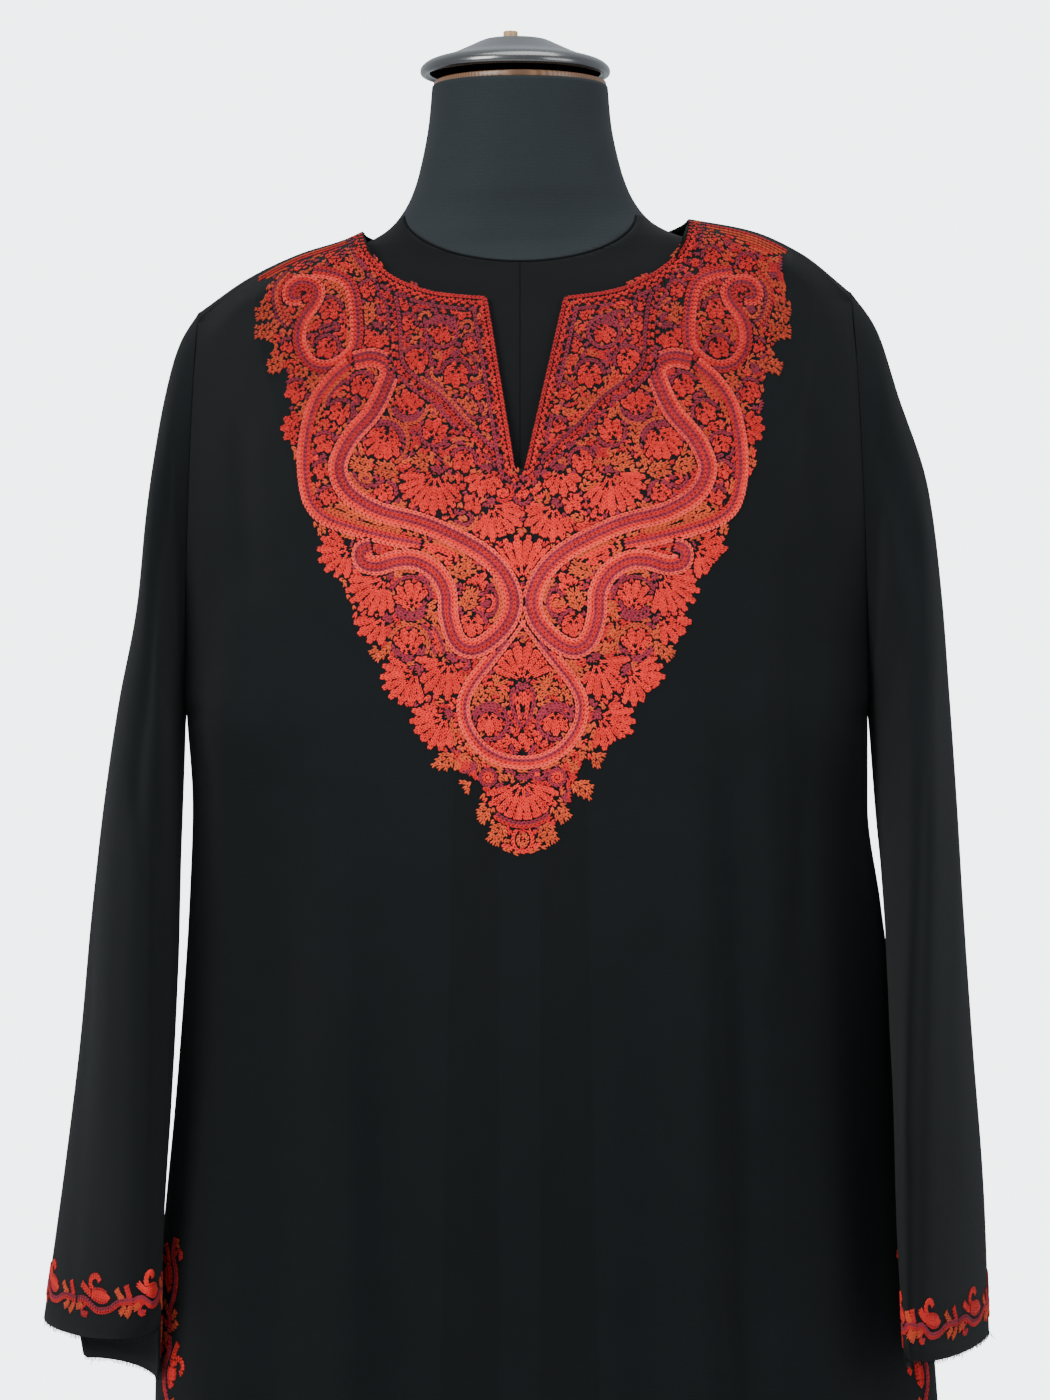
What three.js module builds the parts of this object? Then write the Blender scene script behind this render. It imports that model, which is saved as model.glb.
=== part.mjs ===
// A pheran, the long loose tunic of Kashmir, worn by a limbless dress form on a pole and a round base.
// Millimetres, +Z up, origin on the floor under the middle of the base, front towards -Y.
// Side -1 is the wearer's right (-X), side 1 the wearer's left (+X).
import * as THREE from 'three';
import { mergeVertices } from 'three/addons/utils/BufferGeometryUtils.js';

// Cloth and seams
const wall = 1.6;
const seamGap = 0.3;
const air = 1.6; // from the form to the inside of the cloth where it lies on the form
const yokeRelief = 1.0; // height of the massed chain stitch over the cloth
const sideOf = (x) => (x < 0 ? -1 : 1);

// Levels
const hemZ = 280;
const slitTopZ = 729; // side slits run from here to the hem
const shoulderSeamY = -14; // the shoulder seam lies in front of the ridge
const formBottomZ = 670;
const chestZ = 1020; // below this level the columns of the front spread towards the hem
const neckTopZ = 1452;

// Each side's shoulder tip and underarm point, on the plane of the armhole seam
const armholes = {
  '-1': { tipX: 204, tipZ: 1310, pitX: 212, pitZ: 1056 },
  1: { tipX: 210, tipZ: 1323, pitX: 221, pitZ: 1056 },
};
const armholeHalfDepth = 42;

// Ridge of the cloth over each shoulder, from the tip to the neck
const ridges = {
  '-1': [
    { x: 204, z: 1310 },
    { x: 172, z: 1332 },
    { x: 140, z: 1347 },
    { x: 111, z: 1356 },
    { x: 100, z: 1361 },
  ],
  1: [
    { x: 210, z: 1323 },
    { x: 178, z: 1348 },
    { x: 146, z: 1362 },
    { x: 107, z: 1369 },
  ],
};

// Front neckline, from the shoulder seam to the corner of the throat slit
const frontNecks = {
  '-1': [
    { x: 100, z: 1360 },
    { x: 95, z: 1345 },
    { x: 80, z: 1328 },
    { x: 50, z: 1316 },
    { x: 20, z: 1313 },
  ],
  1: [
    { x: 107, z: 1368 },
    { x: 103, z: 1350 },
    { x: 88, z: 1333 },
    { x: 58, z: 1318 },
    { x: 27, z: 1313 },
  ],
};
const throatSlit = { bottomHalf: 2.5, reach: 0.424 }; // reach is its share of the way from the corner to the underarm

// Back neckline, as shares of the neck's half width, with its depth and its drop below the neck point
const backNeck = [
  { share: 1, y: shoulderSeamY, drop: 1.2 },
  { share: 0.96, y: 21, drop: 2 },
  { share: 0.8, y: 48, drop: 4 },
  { share: 0.48, y: 63, drop: 9 },
  { share: 0, y: 70, drop: 15 },
];

// Half widths of the tunic on each side below the underarm, and its depths to the front and back all the way
const widthRows = [
  { z: 1056, right: 212, left: 221 },
  { z: 996, right: 208, left: 221 },
  { z: 936, right: 210, left: 229 },
  { z: 872, right: 214, left: 237 },
  { z: 808, right: 219, left: 243 },
  { z: 745, right: 225, left: 249 },
  { z: 700, right: 229, left: 255 },
  { z: 650, right: 231, left: 263 },
  { z: 560, right: 233, left: 268 },
  { z: 420, right: 244, left: 270 },
  { z: hemZ, right: 252, left: 272 },
];
const depthRows = [
  { z: 1370, front: 50, back: 62 },
  { z: 1340, front: 60, back: 73 },
  { z: 1316, front: 72, back: 84 },
  { z: 1280, front: 90, back: 95 },
  { z: 1240, front: 103, back: 101 },
  { z: 1200, front: 113, back: 103 },
  { z: 1160, front: 120, back: 102 },
  { z: 1120, front: 124, back: 100 },
  { z: 1040, front: 122, back: 98 },
  { z: 940, front: 119, back: 100 },
  { z: 860, front: 120, back: 107 },
  { z: 800, front: 122, back: 114 },
  { z: 700, front: 126, back: 118 },
  { z: 500, front: 133, back: 123 },
  { z: hemZ, front: 140, back: 129 },
];

// Half widths of the stitched yoke on each side
const yokeTipZ = 967;
const yokeTopZ = 1366;
const yokeRows = [
  { z: yokeTopZ, right: 163, left: 170 },
  { z: 1319, right: 165, left: 172 },
  { z: 1282, right: 160, left: 163 },
  { z: 1240, right: 148, left: 153 },
  { z: 1210, right: 139, left: 147 },
  { z: 1180, right: 130, left: 132 },
  { z: 1142, right: 116, left: 113 },
  { z: 1112, right: 103, left: 103 },
  { z: 1090, right: 88, left: 89 },
  { z: 1069, right: 80, left: 77 },
  { z: 1054, right: 69, left: 70 },
  { z: 1035, right: 53, left: 53 },
  { z: 1020, right: 40, left: 42 },
  { z: 1002, right: 25, left: 36 },
  { z: 984, right: 17, left: 22 },
  { z: yokeTipZ, right: 2, left: 8 },
];

// The dress form under the cloth: half width, depth to the front and depth to the back
const formRows = [
  { z: neckTopZ, half: 56, front: 59, back: 54 },
  { z: 1430, half: 58, front: 57, back: 54 },
  { z: 1400, half: 64, front: 55, back: 55 },
  { z: 1385, half: 69, front: 54, back: 56 },
  { z: 1374, half: 75, front: 52, back: 58 },
  { z: 1364, half: 84, front: 51, back: 60 },
  { z: 1356, half: 98, front: 51, back: 61 },
  { z: 1351.5, half: 111, front: 51, back: 63 },
  { z: 1343, half: 138, front: 53, back: 66 },
  { z: 1337, half: 156, front: 56, back: 69 },
  { z: 1326, half: 171, front: 63, back: 74 },
  { z: 1310, half: 184, front: 71, back: 80 },
  { z: 1292, half: 190, front: 80, back: 87 },
  { z: 1262, half: 180, front: 92, back: 92 },
  { z: 1220, half: 165, front: 103, back: 96 },
  { z: 1175, half: 154, front: 112, back: 95 },
  { z: 1130, half: 150, front: 117, back: 89 },
  { z: 1080, half: 141, front: 113, back: 81 },
  { z: 1030, half: 129, front: 100, back: 72 },
  { z: 980, half: 120, front: 91, back: 68 },
  { z: 930, half: 127, front: 91, back: 76 },
  { z: 870, half: 147, front: 103, back: 92 },
  { z: 800, half: 165, front: 112, back: 107 },
  { z: 740, half: 165, front: 110, back: 104 },
  { z: formBottomZ, half: 158, front: 100, back: 95 },
];
const formRoundness = 2.4; // exponent of the superellipse that each ring follows
const formLean = 0.03; // the wearer's left shoulder stands a little higher

// Sleeves: the outer and inner outline, the ring's middle and half depth, and how far its front edge turns inwards
const sleeves = {
  '-1': [
    { s: 0, outX: 204, outZ: 1310, inX: 212, inZ: 1056, y: 0, depth: 42, turn: 0 },
    { s: 1, outX: 216, outZ: 1290, inX: 212.6, inZ: 1053, y: 0, depth: 48, turn: 0 },
    { s: 2, outX: 226, outZ: 1254, inX: 213, inZ: 1044, y: -1, depth: 58, turn: 1 },
    { s: 3, outX: 236, outZ: 1190, inX: 213.4, inZ: 1022, y: -2, depth: 72, turn: 2 },
    { s: 4, outX: 243, outZ: 1127, inX: 213.8, inZ: 990, y: -3, depth: 84, turn: 4 },
    { s: 5, outX: 256, outZ: 1063, inX: 214, inZ: 955, y: -4, depth: 91, turn: 7 },
    { s: 6, outX: 266, outZ: 999, inX: 214, inZ: 915, y: -6, depth: 92, turn: 10 },
    { s: 7, outX: 275, outZ: 925, inX: 215, inZ: 866, y: -8, depth: 88, turn: 14 },
    { s: 8, outX: 283, outZ: 850, inX: 217, inZ: 812, y: -10, depth: 82, turn: 19 },
    { s: 9, outX: 295, outZ: 760, inX: 221, inZ: 738, y: -12, depth: 75, turn: 26 },
    { s: 10, outX: 307, outZ: 667, inX: 223, inZ: 661, y: -14, depth: 68, turn: 32 },
  ],
  1: [
    { s: 0, outX: 210, outZ: 1323, inX: 221, inZ: 1056, y: 0, depth: 42, turn: 0 },
    { s: 1, outX: 226, outZ: 1300, inX: 221.6, inZ: 1053, y: 0, depth: 48, turn: 0 },
    { s: 2, outX: 240, outZ: 1258, inX: 222.2, inZ: 1044, y: -1, depth: 58, turn: 1 },
    { s: 3, outX: 259, outZ: 1194, inX: 223.5, inZ: 1022, y: -4, depth: 72, turn: 2 },
    { s: 4, outX: 267, outZ: 1127, inX: 225, inZ: 990, y: -11, depth: 84, turn: 4 },
    { s: 5, outX: 272, outZ: 1063, inX: 226.5, inZ: 955, y: -22, depth: 90, turn: 7 },
    { s: 6, outX: 277, outZ: 999, inX: 227, inZ: 915, y: -34, depth: 90, turn: 11 },
    { s: 7, outX: 282, outZ: 925, inX: 227, inZ: 866, y: -45, depth: 87, turn: 16 },
    { s: 8, outX: 288, outZ: 850, inX: 228, inZ: 812, y: -52, depth: 82, turn: 21 },
    { s: 9, outX: 295, outZ: 760, inX: 229, inZ: 738, y: -57, depth: 76, turn: 26 },
    { s: 10, outX: 299, outZ: 662, inX: 233, inZ: 656, y: -60, depth: 72, turn: 30 },
  ],
};
const cuffSlope = { '-1': 0.28, 1: 0.19 }; // how far the cuff's back hangs lower, over its depth

// Folds: a soft ridge (or a trough, with a height below 0) between two points, x and z at each end
const frontFolds = [
  { x: -178, z: 1150, endX: -205, endZ: 820, half: 13, height: 7 },
  { x: -144, z: 1130, endX: -160, endZ: hemZ, half: 18, height: -8.5 },
  { x: -112, z: 1100, endX: -104, endZ: hemZ, half: 15, height: 8.5 },
  { x: -84, z: 980, endX: -74, endZ: hemZ, half: 13, height: -7 },
  { x: 76, z: 940, endX: 80, endZ: hemZ, half: 12, height: -4 },
  { x: 112, z: 1090, endX: 118, endZ: hemZ, half: 13, height: 7 },
  { x: 126, z: 1120, endX: 142, endZ: hemZ, half: 10, height: -8.5 },
  { x: 147, z: 1130, endX: 158, endZ: 860, half: 10, height: 5.5 },
  { x: 164, z: 1150, endX: 172, endZ: 900, half: 8, height: -4 },
  { x: 190, z: 1060, endX: 205, endZ: hemZ, half: 18, height: 5.5 },
];
const backFolds = [
  { x: -168, z: 1200, endX: -186, endZ: hemZ, half: 16, height: 7.5 },
  { x: -126, z: 1180, endX: -130, endZ: hemZ, half: 16, height: -9 },
  { x: -78, z: 1120, endX: -84, endZ: hemZ, half: 18, height: 9 },
  { x: -22, z: 1080, endX: -30, endZ: hemZ, half: 15, height: -7.5 },
  { x: 40, z: 1100, endX: 34, endZ: hemZ, half: 18, height: 7.5 },
  { x: 92, z: 1150, endX: 98, endZ: hemZ, half: 16, height: -9 },
  { x: 136, z: 1190, endX: 150, endZ: hemZ, half: 17, height: 9 },
  { x: 182, z: 1080, endX: 208, endZ: hemZ, half: 14, height: -6 },
];
// Folds along a sleeve: the place round it (0 outside, 90 front), from one row of its table to another
const sleeveFolds = {
  '-1': [
    { angle: 38, from: 2, to: 9, half: 17, height: 4 },
    { angle: 74, from: 1, to: 6, half: 15, height: -5 },
    { angle: -60, from: 3, to: 9, half: 20, height: 4 },
  ],
  1: [
    { angle: 66, from: 0.5, to: 3.5, half: 13, height: -5 },
    { angle: 96, from: 1, to: 9, half: 16, height: 4 },
    { angle: 40, from: 4, to: 9.5, half: 18, height: -3 },
    { angle: -70, from: 3, to: 9, half: 20, height: 4 },
  ],
};

// Grid counts
const upperRows = 14;
const lowerRows = [1038, 1020, 1003, 985, 967, 930, 885, 838, 790, 742, 695, 650, 604, 556, 506, 452, 396, 338, hemZ];
const sleeveRounds = 24;
const sleeveRings = 19;
const formRounds = 32;

// Stand, neck top and cap
const poleRadius = 12.5;
const base = { radius: 190, thick: 12, bevel: 3 };
const socket = { radius: 24, top: 46 };
const plate = { radius: 55, thick: 4 };
const cap = { radius: 60.5, x: -3, rimZ: 1460, topZ: 1483, flat: 16, boss: 30 };
const peg = { radius: 4.6, height: 5.5, x: -6 };

const clamp = (value) => Math.min(Math.max(value, 0), 1);
const mix = (a, b, share) => a + (b - a) * share;
const bend = (share) => 1 - Math.cos((share * Math.PI) / 2); // close steps at the start, wide ones at the end
const smooth = (value) => {
  const t = clamp(value);
  return t * t * (3 - 2 * t);
};

// Smooth value of one column of a table at a place on its key column, never past its rows' own values
function read(table, name, at, key = 'z') {
  const rows = table[0][key] > table[table.length - 1][key] ? [...table].reverse() : table;
  const last = rows.length - 1;
  if (at <= rows[0][key]) return rows[0][name];
  if (at >= rows[last][key]) return rows[last][name];
  const i = rows.findIndex((row, k) => k < last && at <= rows[k + 1][key]);
  const rise = (k) => (rows[k + 1][name] - rows[k][name]) / (rows[k + 1][key] - rows[k][key]);
  const slope = (k) => {
    if (k === 0) return rise(0);
    if (k === last) return rise(last - 1);
    const [before, after] = [rise(k - 1), rise(k)];
    return before * after > 0 ? (2 * before * after) / (before + after) : 0;
  };
  const span = rows[i + 1][key] - rows[i][key];
  const t = (at - rows[i][key]) / span;
  const ease = t * t * (3 - 2 * t);
  const lead = span * (t * (1 - t) * (1 - t) * slope(i) - t * t * (1 - t) * slope(i + 1));
  return mix(rows[i][name], rows[i + 1][name], ease) + lead;
}

// The dress form

const leanAt = (x, z) => formLean * x * smooth((z - 1080) / 180) * (1 - smooth((z - 1385) / 50));

// Depth of the form at a point of the front view, 0 beside it
function formDepth(x, z, face) {
  const level = z - leanAt(x, z);
  if (level > 1367 && face === 'back') return 0;
  const across = Math.abs(x) / read(formRows, 'half', level);
  return across >= 1 ? 0 : read(formRows, face, level) * (1 - across ** formRoundness) ** (1 / formRoundness);
}

function formPoint(z, round) {
  const angle = (2 * Math.PI * round) / formRounds;
  const power = 2 / formRoundness;
  const x = Math.sign(Math.cos(angle)) * Math.abs(Math.cos(angle)) ** power * read(formRows, 'half', z);
  const depth = read(formRows, Math.sin(angle) < 0 ? 'front' : 'back', z);
  const y = Math.sign(Math.sin(angle)) * Math.abs(Math.sin(angle)) ** power * depth;
  return new THREE.Vector3(x, y, z + leanAt(x, z));
}

// The cloth's outer surface

const handOf = (side) => (side < 0 ? 'right' : 'left');

// Where the panels end at the side: the armhole plane above the underarm, the side seam and slit below
function edgeX(side, z) {
  const hole = armholes[side];
  if (z < hole.pitZ) return read(widthRows, handOf(side), z);
  return mix(hole.pitX, hole.tipX, clamp((z - hole.pitZ) / (hole.tipZ - hole.pitZ)));
}

function edgeDepth(side, z, face) {
  const { tipZ, pitZ } = armholes[side];
  if (z < pitZ) return seamGap / 2 + 13 * smooth((slitTopZ - z) / (slitTopZ - hemZ));
  const least = face === 'front' ? -shoulderSeamY : 0;
  const rise = (z - (tipZ + pitZ) / 2) / ((tipZ - pitZ) / 2);
  const round = armholeHalfDepth * Math.sqrt(Math.max(1 - rise * rise, 0));
  return z > (tipZ + pitZ) / 2 ? Math.max(round, least) : Math.max(round, seamGap / 2);
}

const ridgeZ = (x) => read(ridges[sideOf(x)], 'z', Math.abs(x), 'x');

// The seam lies a little below the ridge, and more so towards the tip
function seamZ(x) {
  const { tipX, tipZ, pitZ } = armholes[sideOf(x)];
  const halfHeight = (tipZ - pitZ) / 2;
  const tipDrop = halfHeight * (1 - Math.sqrt(1 - (shoulderSeamY / armholeHalfDepth) ** 2));
  const nearNeck = 1.2;
  return ridgeZ(x) - nearNeck - (tipDrop - nearNeck) * clamp((Math.abs(x) - 110) / (tipX - 110)) ** 2;
}

function foldHeight(folds, x, z) {
  let height = 0;
  for (const fold of folds) {
    const along = (fold.z - z) / (fold.z - fold.endZ);
    const fadeIn = smooth(along * 4);
    const fadeOut = fold.endZ === hemZ ? 1 : smooth((1 - along) * 4);
    const middle = mix(fold.x, fold.endX, clamp(along));
    height += fold.height * fadeIn * fadeOut * Math.exp(-(((x - middle) / fold.half) ** 2));
  }
  return height;
}

function clothDepth(x, z, face) {
  const side = sideOf(x);
  const across = Math.min(Math.abs(x) / edgeX(side, z), 1);
  const edge = edgeDepth(side, z, face);
  const full = read(depthRows, face, z);
  const round = mix(1, 0.44, smooth((1150 - z) / 110));
  const below = (face === 'front' ? seamZ(x) : ridgeZ(x)) - z;
  const roll = 1 - (1 - clamp(below / 18)) ** 2;
  const folds = foldHeight(face === 'front' ? frontFolds : backFolds, x, z) * smooth((1 - across) * 5);
  const hang = edge + (full - edge) * (1 - across ** 2.4) ** round * roll + folds;
  const onForm = formDepth(x, z, face);
  return onForm > 0 ? Math.max(hang, onForm + air + wall) : hang;
}

// Front panel: columns run from the shoulder and neck to the hem, in blocks that end on the main lines

const sideCells = 7;
const stepWidth = 2.2; // the stitched yoke's edge rises over this width
const shoulderCells = 2;
const neckCells = frontNecks[1].length - 1;

function frontTop(side, block, share) {
  const neck = frontNecks[side];
  const tipX = armholes[side].tipX;
  const yokeX = read(yokeRows, handOf(side), yokeTopZ);
  if (block === 'side') return { x: mix(tipX, yokeX + stepWidth, bend(share)), seam: true };
  if (block === 'shoulder') return { x: mix(yokeX, neck[0].x, share), seam: true };
  const row = neck[Math.round(share * neckCells)];
  return { x: row.x, z: row.z, seam: share === 0 };
}

// Where a column of the front lies at a level: the four main lines of a side, and shares between them
function frontX(side, block, share, z, fall) {
  const hand = handOf(side);
  const yokeFoot = 40; // least half width of the yoke's column, which runs on to the hem
  const neckFoot = 46; // the same for the column under the neck point
  const pitYoke = 70; // the yoke's half width at the underarm
  const spread = z < chestZ ? mix(1, 1.4, (chestZ - z) / (chestZ - hemZ)) : 1;
  const yokeX = Math.max(read(yokeRows, hand, Math.max(z, yokeTipZ)), yokeFoot) * spread;
  if (block === 'side') {
    return mix(edgeX(side, z), yokeX + stepWidth, bend(share));
  }
  const neck = frontNecks[side];
  const underNeck = mix(neck[0].x, neckFoot, clamp(fall) ** 0.8) * (z < armholes[side].pitZ ? yokeX / pitYoke : 1);
  if (block === 'shoulder') return mix(yokeX, underNeck, share);
  const corner = neck[neckCells].x;
  const slitShare = clamp(fall / throatSlit.reach);
  const slitX = mix(corner, throatSlit.bottomHalf, slitShare) + 10 * smooth((fall - throatSlit.reach) / (1 - throatSlit.reach));
  const row = neck[Math.round(share * neckCells)];
  const topShare = (neck[0].x - row.x) / (neck[0].x - corner);
  return mix(underNeck, slitX, mix(topShare, share, clamp(fall * 2)));
}

function frontColumns() {
  const half = [];
  for (let i = 0; i <= sideCells; i += 1) half.push({ block: 'side', share: i / sideCells });
  for (let i = 0; i <= shoulderCells; i += 1) half.push({ block: 'shoulder', share: i / shoulderCells });
  for (let i = 1; i <= neckCells; i += 1) half.push({ block: 'neck', share: i / neckCells });
  const right = half.map((column) => ({ ...column, side: -1 }));
  const left = half.map((column) => ({ ...column, side: 1 })).reverse();
  return [...right, ...left];
}

function frontPoint(column, row) {
  const { side, block, share } = column;
  const top = frontTop(side, block, share);
  const topX = top.x * side;
  const topZ = top.seam ? seamZ(topX) : top.z;
  if (row === 0) {
    const y = top.seam ? shoulderSeamY - seamGap / 2 : -clothDepth(topX, topZ, 'front');
    return new THREE.Vector3(topX, y, topZ);
  }
  const fall = row <= upperRows ? (row / upperRows) ** 1.53 : 1;
  const z = row <= upperRows ? mix(topZ, armholes[side].pitZ, fall) : lowerRows[row - upperRows - 1];
  const x = side * frontX(side, block, share, z, fall);
  const reachesTop = block === 'side' || block === 'shoulder' || share === 0;
  const settled = mix(topX, x, reachesTop ? smooth(fall * 6) : 1);
  return new THREE.Vector3(settled, -clothDepth(settled, z, 'front'), z);
}

// Height of the stitched yoke at a point of the front
function yokeHeight(point) {
  if (point.z < yokeTipZ) return 0;
  const half = read(yokeRows, handOf(sideOf(point.x)), Math.min(point.z, yokeTopZ));
  return Math.abs(point.x) <= half + 0.8 ? yokeRelief : 0;
}

// Back panel: its top edge is the shoulder seam, and between the neck points the back neckline

const backSideCells = 7;
const backNeckCells = backNeck.length - 1;

function backColumns() {
  const half = [];
  for (let i = 0; i <= backSideCells; i += 1) half.push({ block: 'shoulder', share: i / backSideCells });
  for (let i = 1; i <= backNeckCells; i += 1) half.push({ block: 'neck', share: i / backNeckCells });
  const right = half.map((column) => ({ ...column, side: -1 }));
  const left = half.slice(0, -1).map((column) => ({ ...column, side: 1 })).reverse();
  return [...right, ...left];
}

function backPoint(column, row) {
  const { side, block, share } = column;
  const neckX = frontNecks[side][0].x;
  const neckRow = backNeck[Math.round(share * backNeckCells)];
  const shoulder = block === 'shoulder';
  const topX = side * (shoulder ? mix(armholes[side].tipX, neckX, bend(share)) : neckX * neckRow.share);
  const neckPointZ = mix(ridgeZ(-neckX), ridgeZ(neckX), 0.5 + (0.5 * topX) / neckX);
  const top = shoulder ? seamZ(topX) : neckPointZ - neckRow.drop;
  const edgeY = (shoulder ? shoulderSeamY : neckRow.y) + seamGap / 2;
  if (row === 0) return new THREE.Vector3(topX, edgeY, top);
  const steps = upperRows;
  const ridge = shoulder ? ridgeZ(topX) : top - 1.5;
  if (row === 1) {
    const y = shoulder ? 0 : Math.max(neckRow.y + 1.5, clothDepth(topX, ridge, 'back'));
    return new THREE.Vector3(topX, y, ridge);
  }
  const fall = row <= steps ? ((row - 1) / (steps - 1)) ** 1.6 : 1;
  const z = row <= steps ? mix(ridge, armholes[side].pitZ, fall) : lowerRows[row - steps - 1];
  const wide = edgeX(side, z) / armholes[side].tipX;
  const x = topX * mix(1, wide, smooth(fall * 3));
  return new THREE.Vector3(x, clothDepth(x, z, 'back'), z);
}

// Sleeves: rings from the armhole to the cuff

function sleevePoint(side, ring, round) {
  const table = sleeves[side];
  const s = (ring / sleeveRings) ** 1.15 * (table.length - 1);
  const row = (name) => read(table, name, s, 's');
  const angle = (2 * Math.PI * round) / sleeveRounds;
  const halfX = (row('outX') - row('inX')) / 2;
  const turn = row('turn');
  const spread = Math.sign(halfX) * Math.sqrt(Math.max(halfX * halfX - turn * turn, 0));
  const halfZ = (row('outZ') - row('inZ')) / 2;
  const depth = row('depth');
  let bulge = 1;
  for (const fold of sleeveFolds[side]) {
    const place = (((angle * 180) / Math.PI - fold.angle + 540) % 360) - 180;
    const fade = smooth((s - fold.from) * 1.2) * smooth((fold.to - s) * 1.2);
    bulge += (fold.height / 60) * fade * Math.exp(-((place / fold.half) ** 2));
  }
  const lower = cuffSlope[side] * smooth((s - 7) / 3);
  const front = Math.sin(angle) * bulge;
  const outward = Math.cos(angle) * bulge;
  const x = (row('outX') + row('inX')) / 2 + spread * outward - turn * front;
  const y = row('y') - depth * front;
  const z = (row('outZ') + row('inZ')) / 2 + halfZ * outward - lower * (y - row('y'));
  return new THREE.Vector3(side * (x + seamGap), y, z);
}

// Walls

// Outward direction of a grid of points at one of them
function outwardAt(grid, i, j, closed) {
  const columns = grid.length;
  const rows = grid[0].length;
  const before = closed ? (i + columns - 1) % columns : Math.max(i - 1, 0);
  const after = closed ? (i + 1) % columns : Math.min(i + 1, columns - 1);
  const across = grid[after][j].clone().sub(grid[before][j]);
  const down = grid[i][Math.min(j + 1, rows - 1)].clone().sub(grid[i][Math.max(j - 1, 0)]);
  return across.cross(down).normalize();
}

// A closed wall over a grid of outer points, open where a cell isn't kept
function wallMesh(outer, inner, closed, keeps) {
  const columns = outer.length;
  const rows = outer[0].length;
  const points = [...outer.flat(), ...inner.flat()];
  const under = columns * rows;
  const at = (i, j) => (i % columns) * rows + j;
  const cells = closed ? columns : columns - 1;
  const kept = (i, j) => {
    if (j < 0 || j >= rows - 1) return false;
    if (!closed && (i < 0 || i >= cells)) return false;
    return keeps((i + cells) % cells, j);
  };
  const faces = [];
  const quad = (a, b, c, d) => faces.push(a, b, c, a, c, d);
  for (let i = 0; i < cells; i += 1) {
    for (let j = 0; j < rows - 1; j += 1) {
      if (kept(i, j)) {
        const [a, b, c, d] = [at(i, j), at(i, j + 1), at(i + 1, j + 1), at(i + 1, j)];
        quad(a, d, c, b);
        quad(a + under, b + under, c + under, d + under);
        if (!kept(i - 1, j)) quad(a, b, b + under, a + under);
        if (!kept(i + 1, j)) quad(c, d, d + under, c + under);
        if (!kept(i, j - 1)) quad(d, a, a + under, d + under);
        if (!kept(i, j + 1)) quad(b, c, c + under, b + under);
      }
    }
  }
  return solid(points, faces);
}

// A closed solid from points and faces, turned so that its faces point out
function solid(points, faces) {
  let volume = 0;
  for (let k = 0; k < faces.length; k += 3) {
    const [a, b, c] = [points[faces[k]], points[faces[k + 1]], points[faces[k + 2]]];
    volume += a.dot(b.clone().cross(c));
  }
  const geometry = new THREE.BufferGeometry().setFromPoints(points);
  geometry.setIndex(volume < 0 ? faces.toReversed() : faces);
  const merged = mergeVertices(geometry, 1e-4);
  merged.computeVertexNormals();
  return merged;
}

function insetPoint(point, outward) {
  return point.clone().addScaledVector(outward.normalize(), -wall);
}

// The directions of a panel's thickness keep to the seam planes at its edges
function panelGrids(columns, rows, place, raise, facing) {
  const grid = columns.map((column) => Array.from({ length: rows }, (unused, j) => place(column, j)));
  const outer = [];
  const inner = [];
  columns.forEach((column, i) => {
    const raised = [];
    const inset = [];
    for (let j = 0; j < rows; j += 1) {
      const outward = outwardAt(grid, i, j, false).multiplyScalar(facing);
      const atSide = i === 0 || i === columns.length - 1;
      const { pitZ } = armholes[column.side];
      if (atSide && grid[i][j].z >= pitZ - 0.1) outward.x = 0;
      if (atSide && grid[i][j].z < pitZ - 0.1) outward.set(column.side, 0, 0);
      if (j === 0 && column.block !== 'neck') outward.set(0, 0, 1);
      raised.push(grid[i][j].clone().addScaledVector(outward.clone().normalize(), raise(grid[i][j])));
      inset.push(insetPoint(grid[i][j], outward));
    }
    outer.push(raised);
    inner.push(inset);
  });
  return [outer, inner];
}

function frontPanel() {
  const columns = frontColumns();
  const rows = upperRows + lowerRows.length + 1;
  const middle = columns.length / 2 - 1;
  const slitRows = 8;
  const [outer, inner] = panelGrids(columns, rows, frontPoint, yokeHeight, 1);
  return wallMesh(outer, inner, false, (i, j) => i !== middle || j >= slitRows);
}

function backPanel() {
  const columns = backColumns();
  const rows = upperRows + lowerRows.length + 1;
  const [outer, inner] = panelGrids(columns, rows, backPoint, () => 0, -1);
  return wallMesh(outer, inner, false, () => true);
}

function sleeve(side) {
  const grid = [];
  for (let i = 0; i < sleeveRounds; i += 1) {
    grid.push(Array.from({ length: sleeveRings + 1 }, (unused, j) => sleevePoint(side, j, i)));
  }
  const inner = grid.map((column, i) => column.map((point, j) => {
    const outward = outwardAt(grid, i, j, true).multiplyScalar(side);
    if (j === 0) outward.x = 0;
    if (j === sleeveRings) outward.z = 0;
    return insetPoint(point, outward);
  }));
  return wallMesh(grid, inner, true, () => true);
}

// The form's body and neck in one piece, with flat ends
function torso() {
  const levels = [];
  for (let i = 0; i < formRows.length - 1; i += 1) {
    const tall = formRows[i].z - formRows[i + 1].z;
    const parts = tall > 50 ? 2 : 1;
    for (let k = 0; k < parts; k += 1) levels.push(formRows[i].z - (tall * k) / parts);
  }
  levels.push(formBottomZ);
  const points = [];
  for (const z of levels) {
    for (let k = 0; k < formRounds; k += 1) points.push(formPoint(z, k));
  }
  const top = points.push(new THREE.Vector3(0, 0, neckTopZ)) - 1;
  const bottom = points.push(new THREE.Vector3(0, 0, formBottomZ)) - 1;
  const faces = [];
  const lastRing = (levels.length - 1) * formRounds;
  for (let k = 0; k < formRounds; k += 1) {
    const next = (k + 1) % formRounds;
    for (let r = 0; r < lastRing; r += formRounds) {
      faces.push(r + k, r + formRounds + k, r + formRounds + next);
      faces.push(r + k, r + formRounds + next, r + next);
    }
    faces.push(top, k, next);
    faces.push(bottom, lastRing + next, lastRing + k);
  }
  return solid(points, faces);
}

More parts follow.
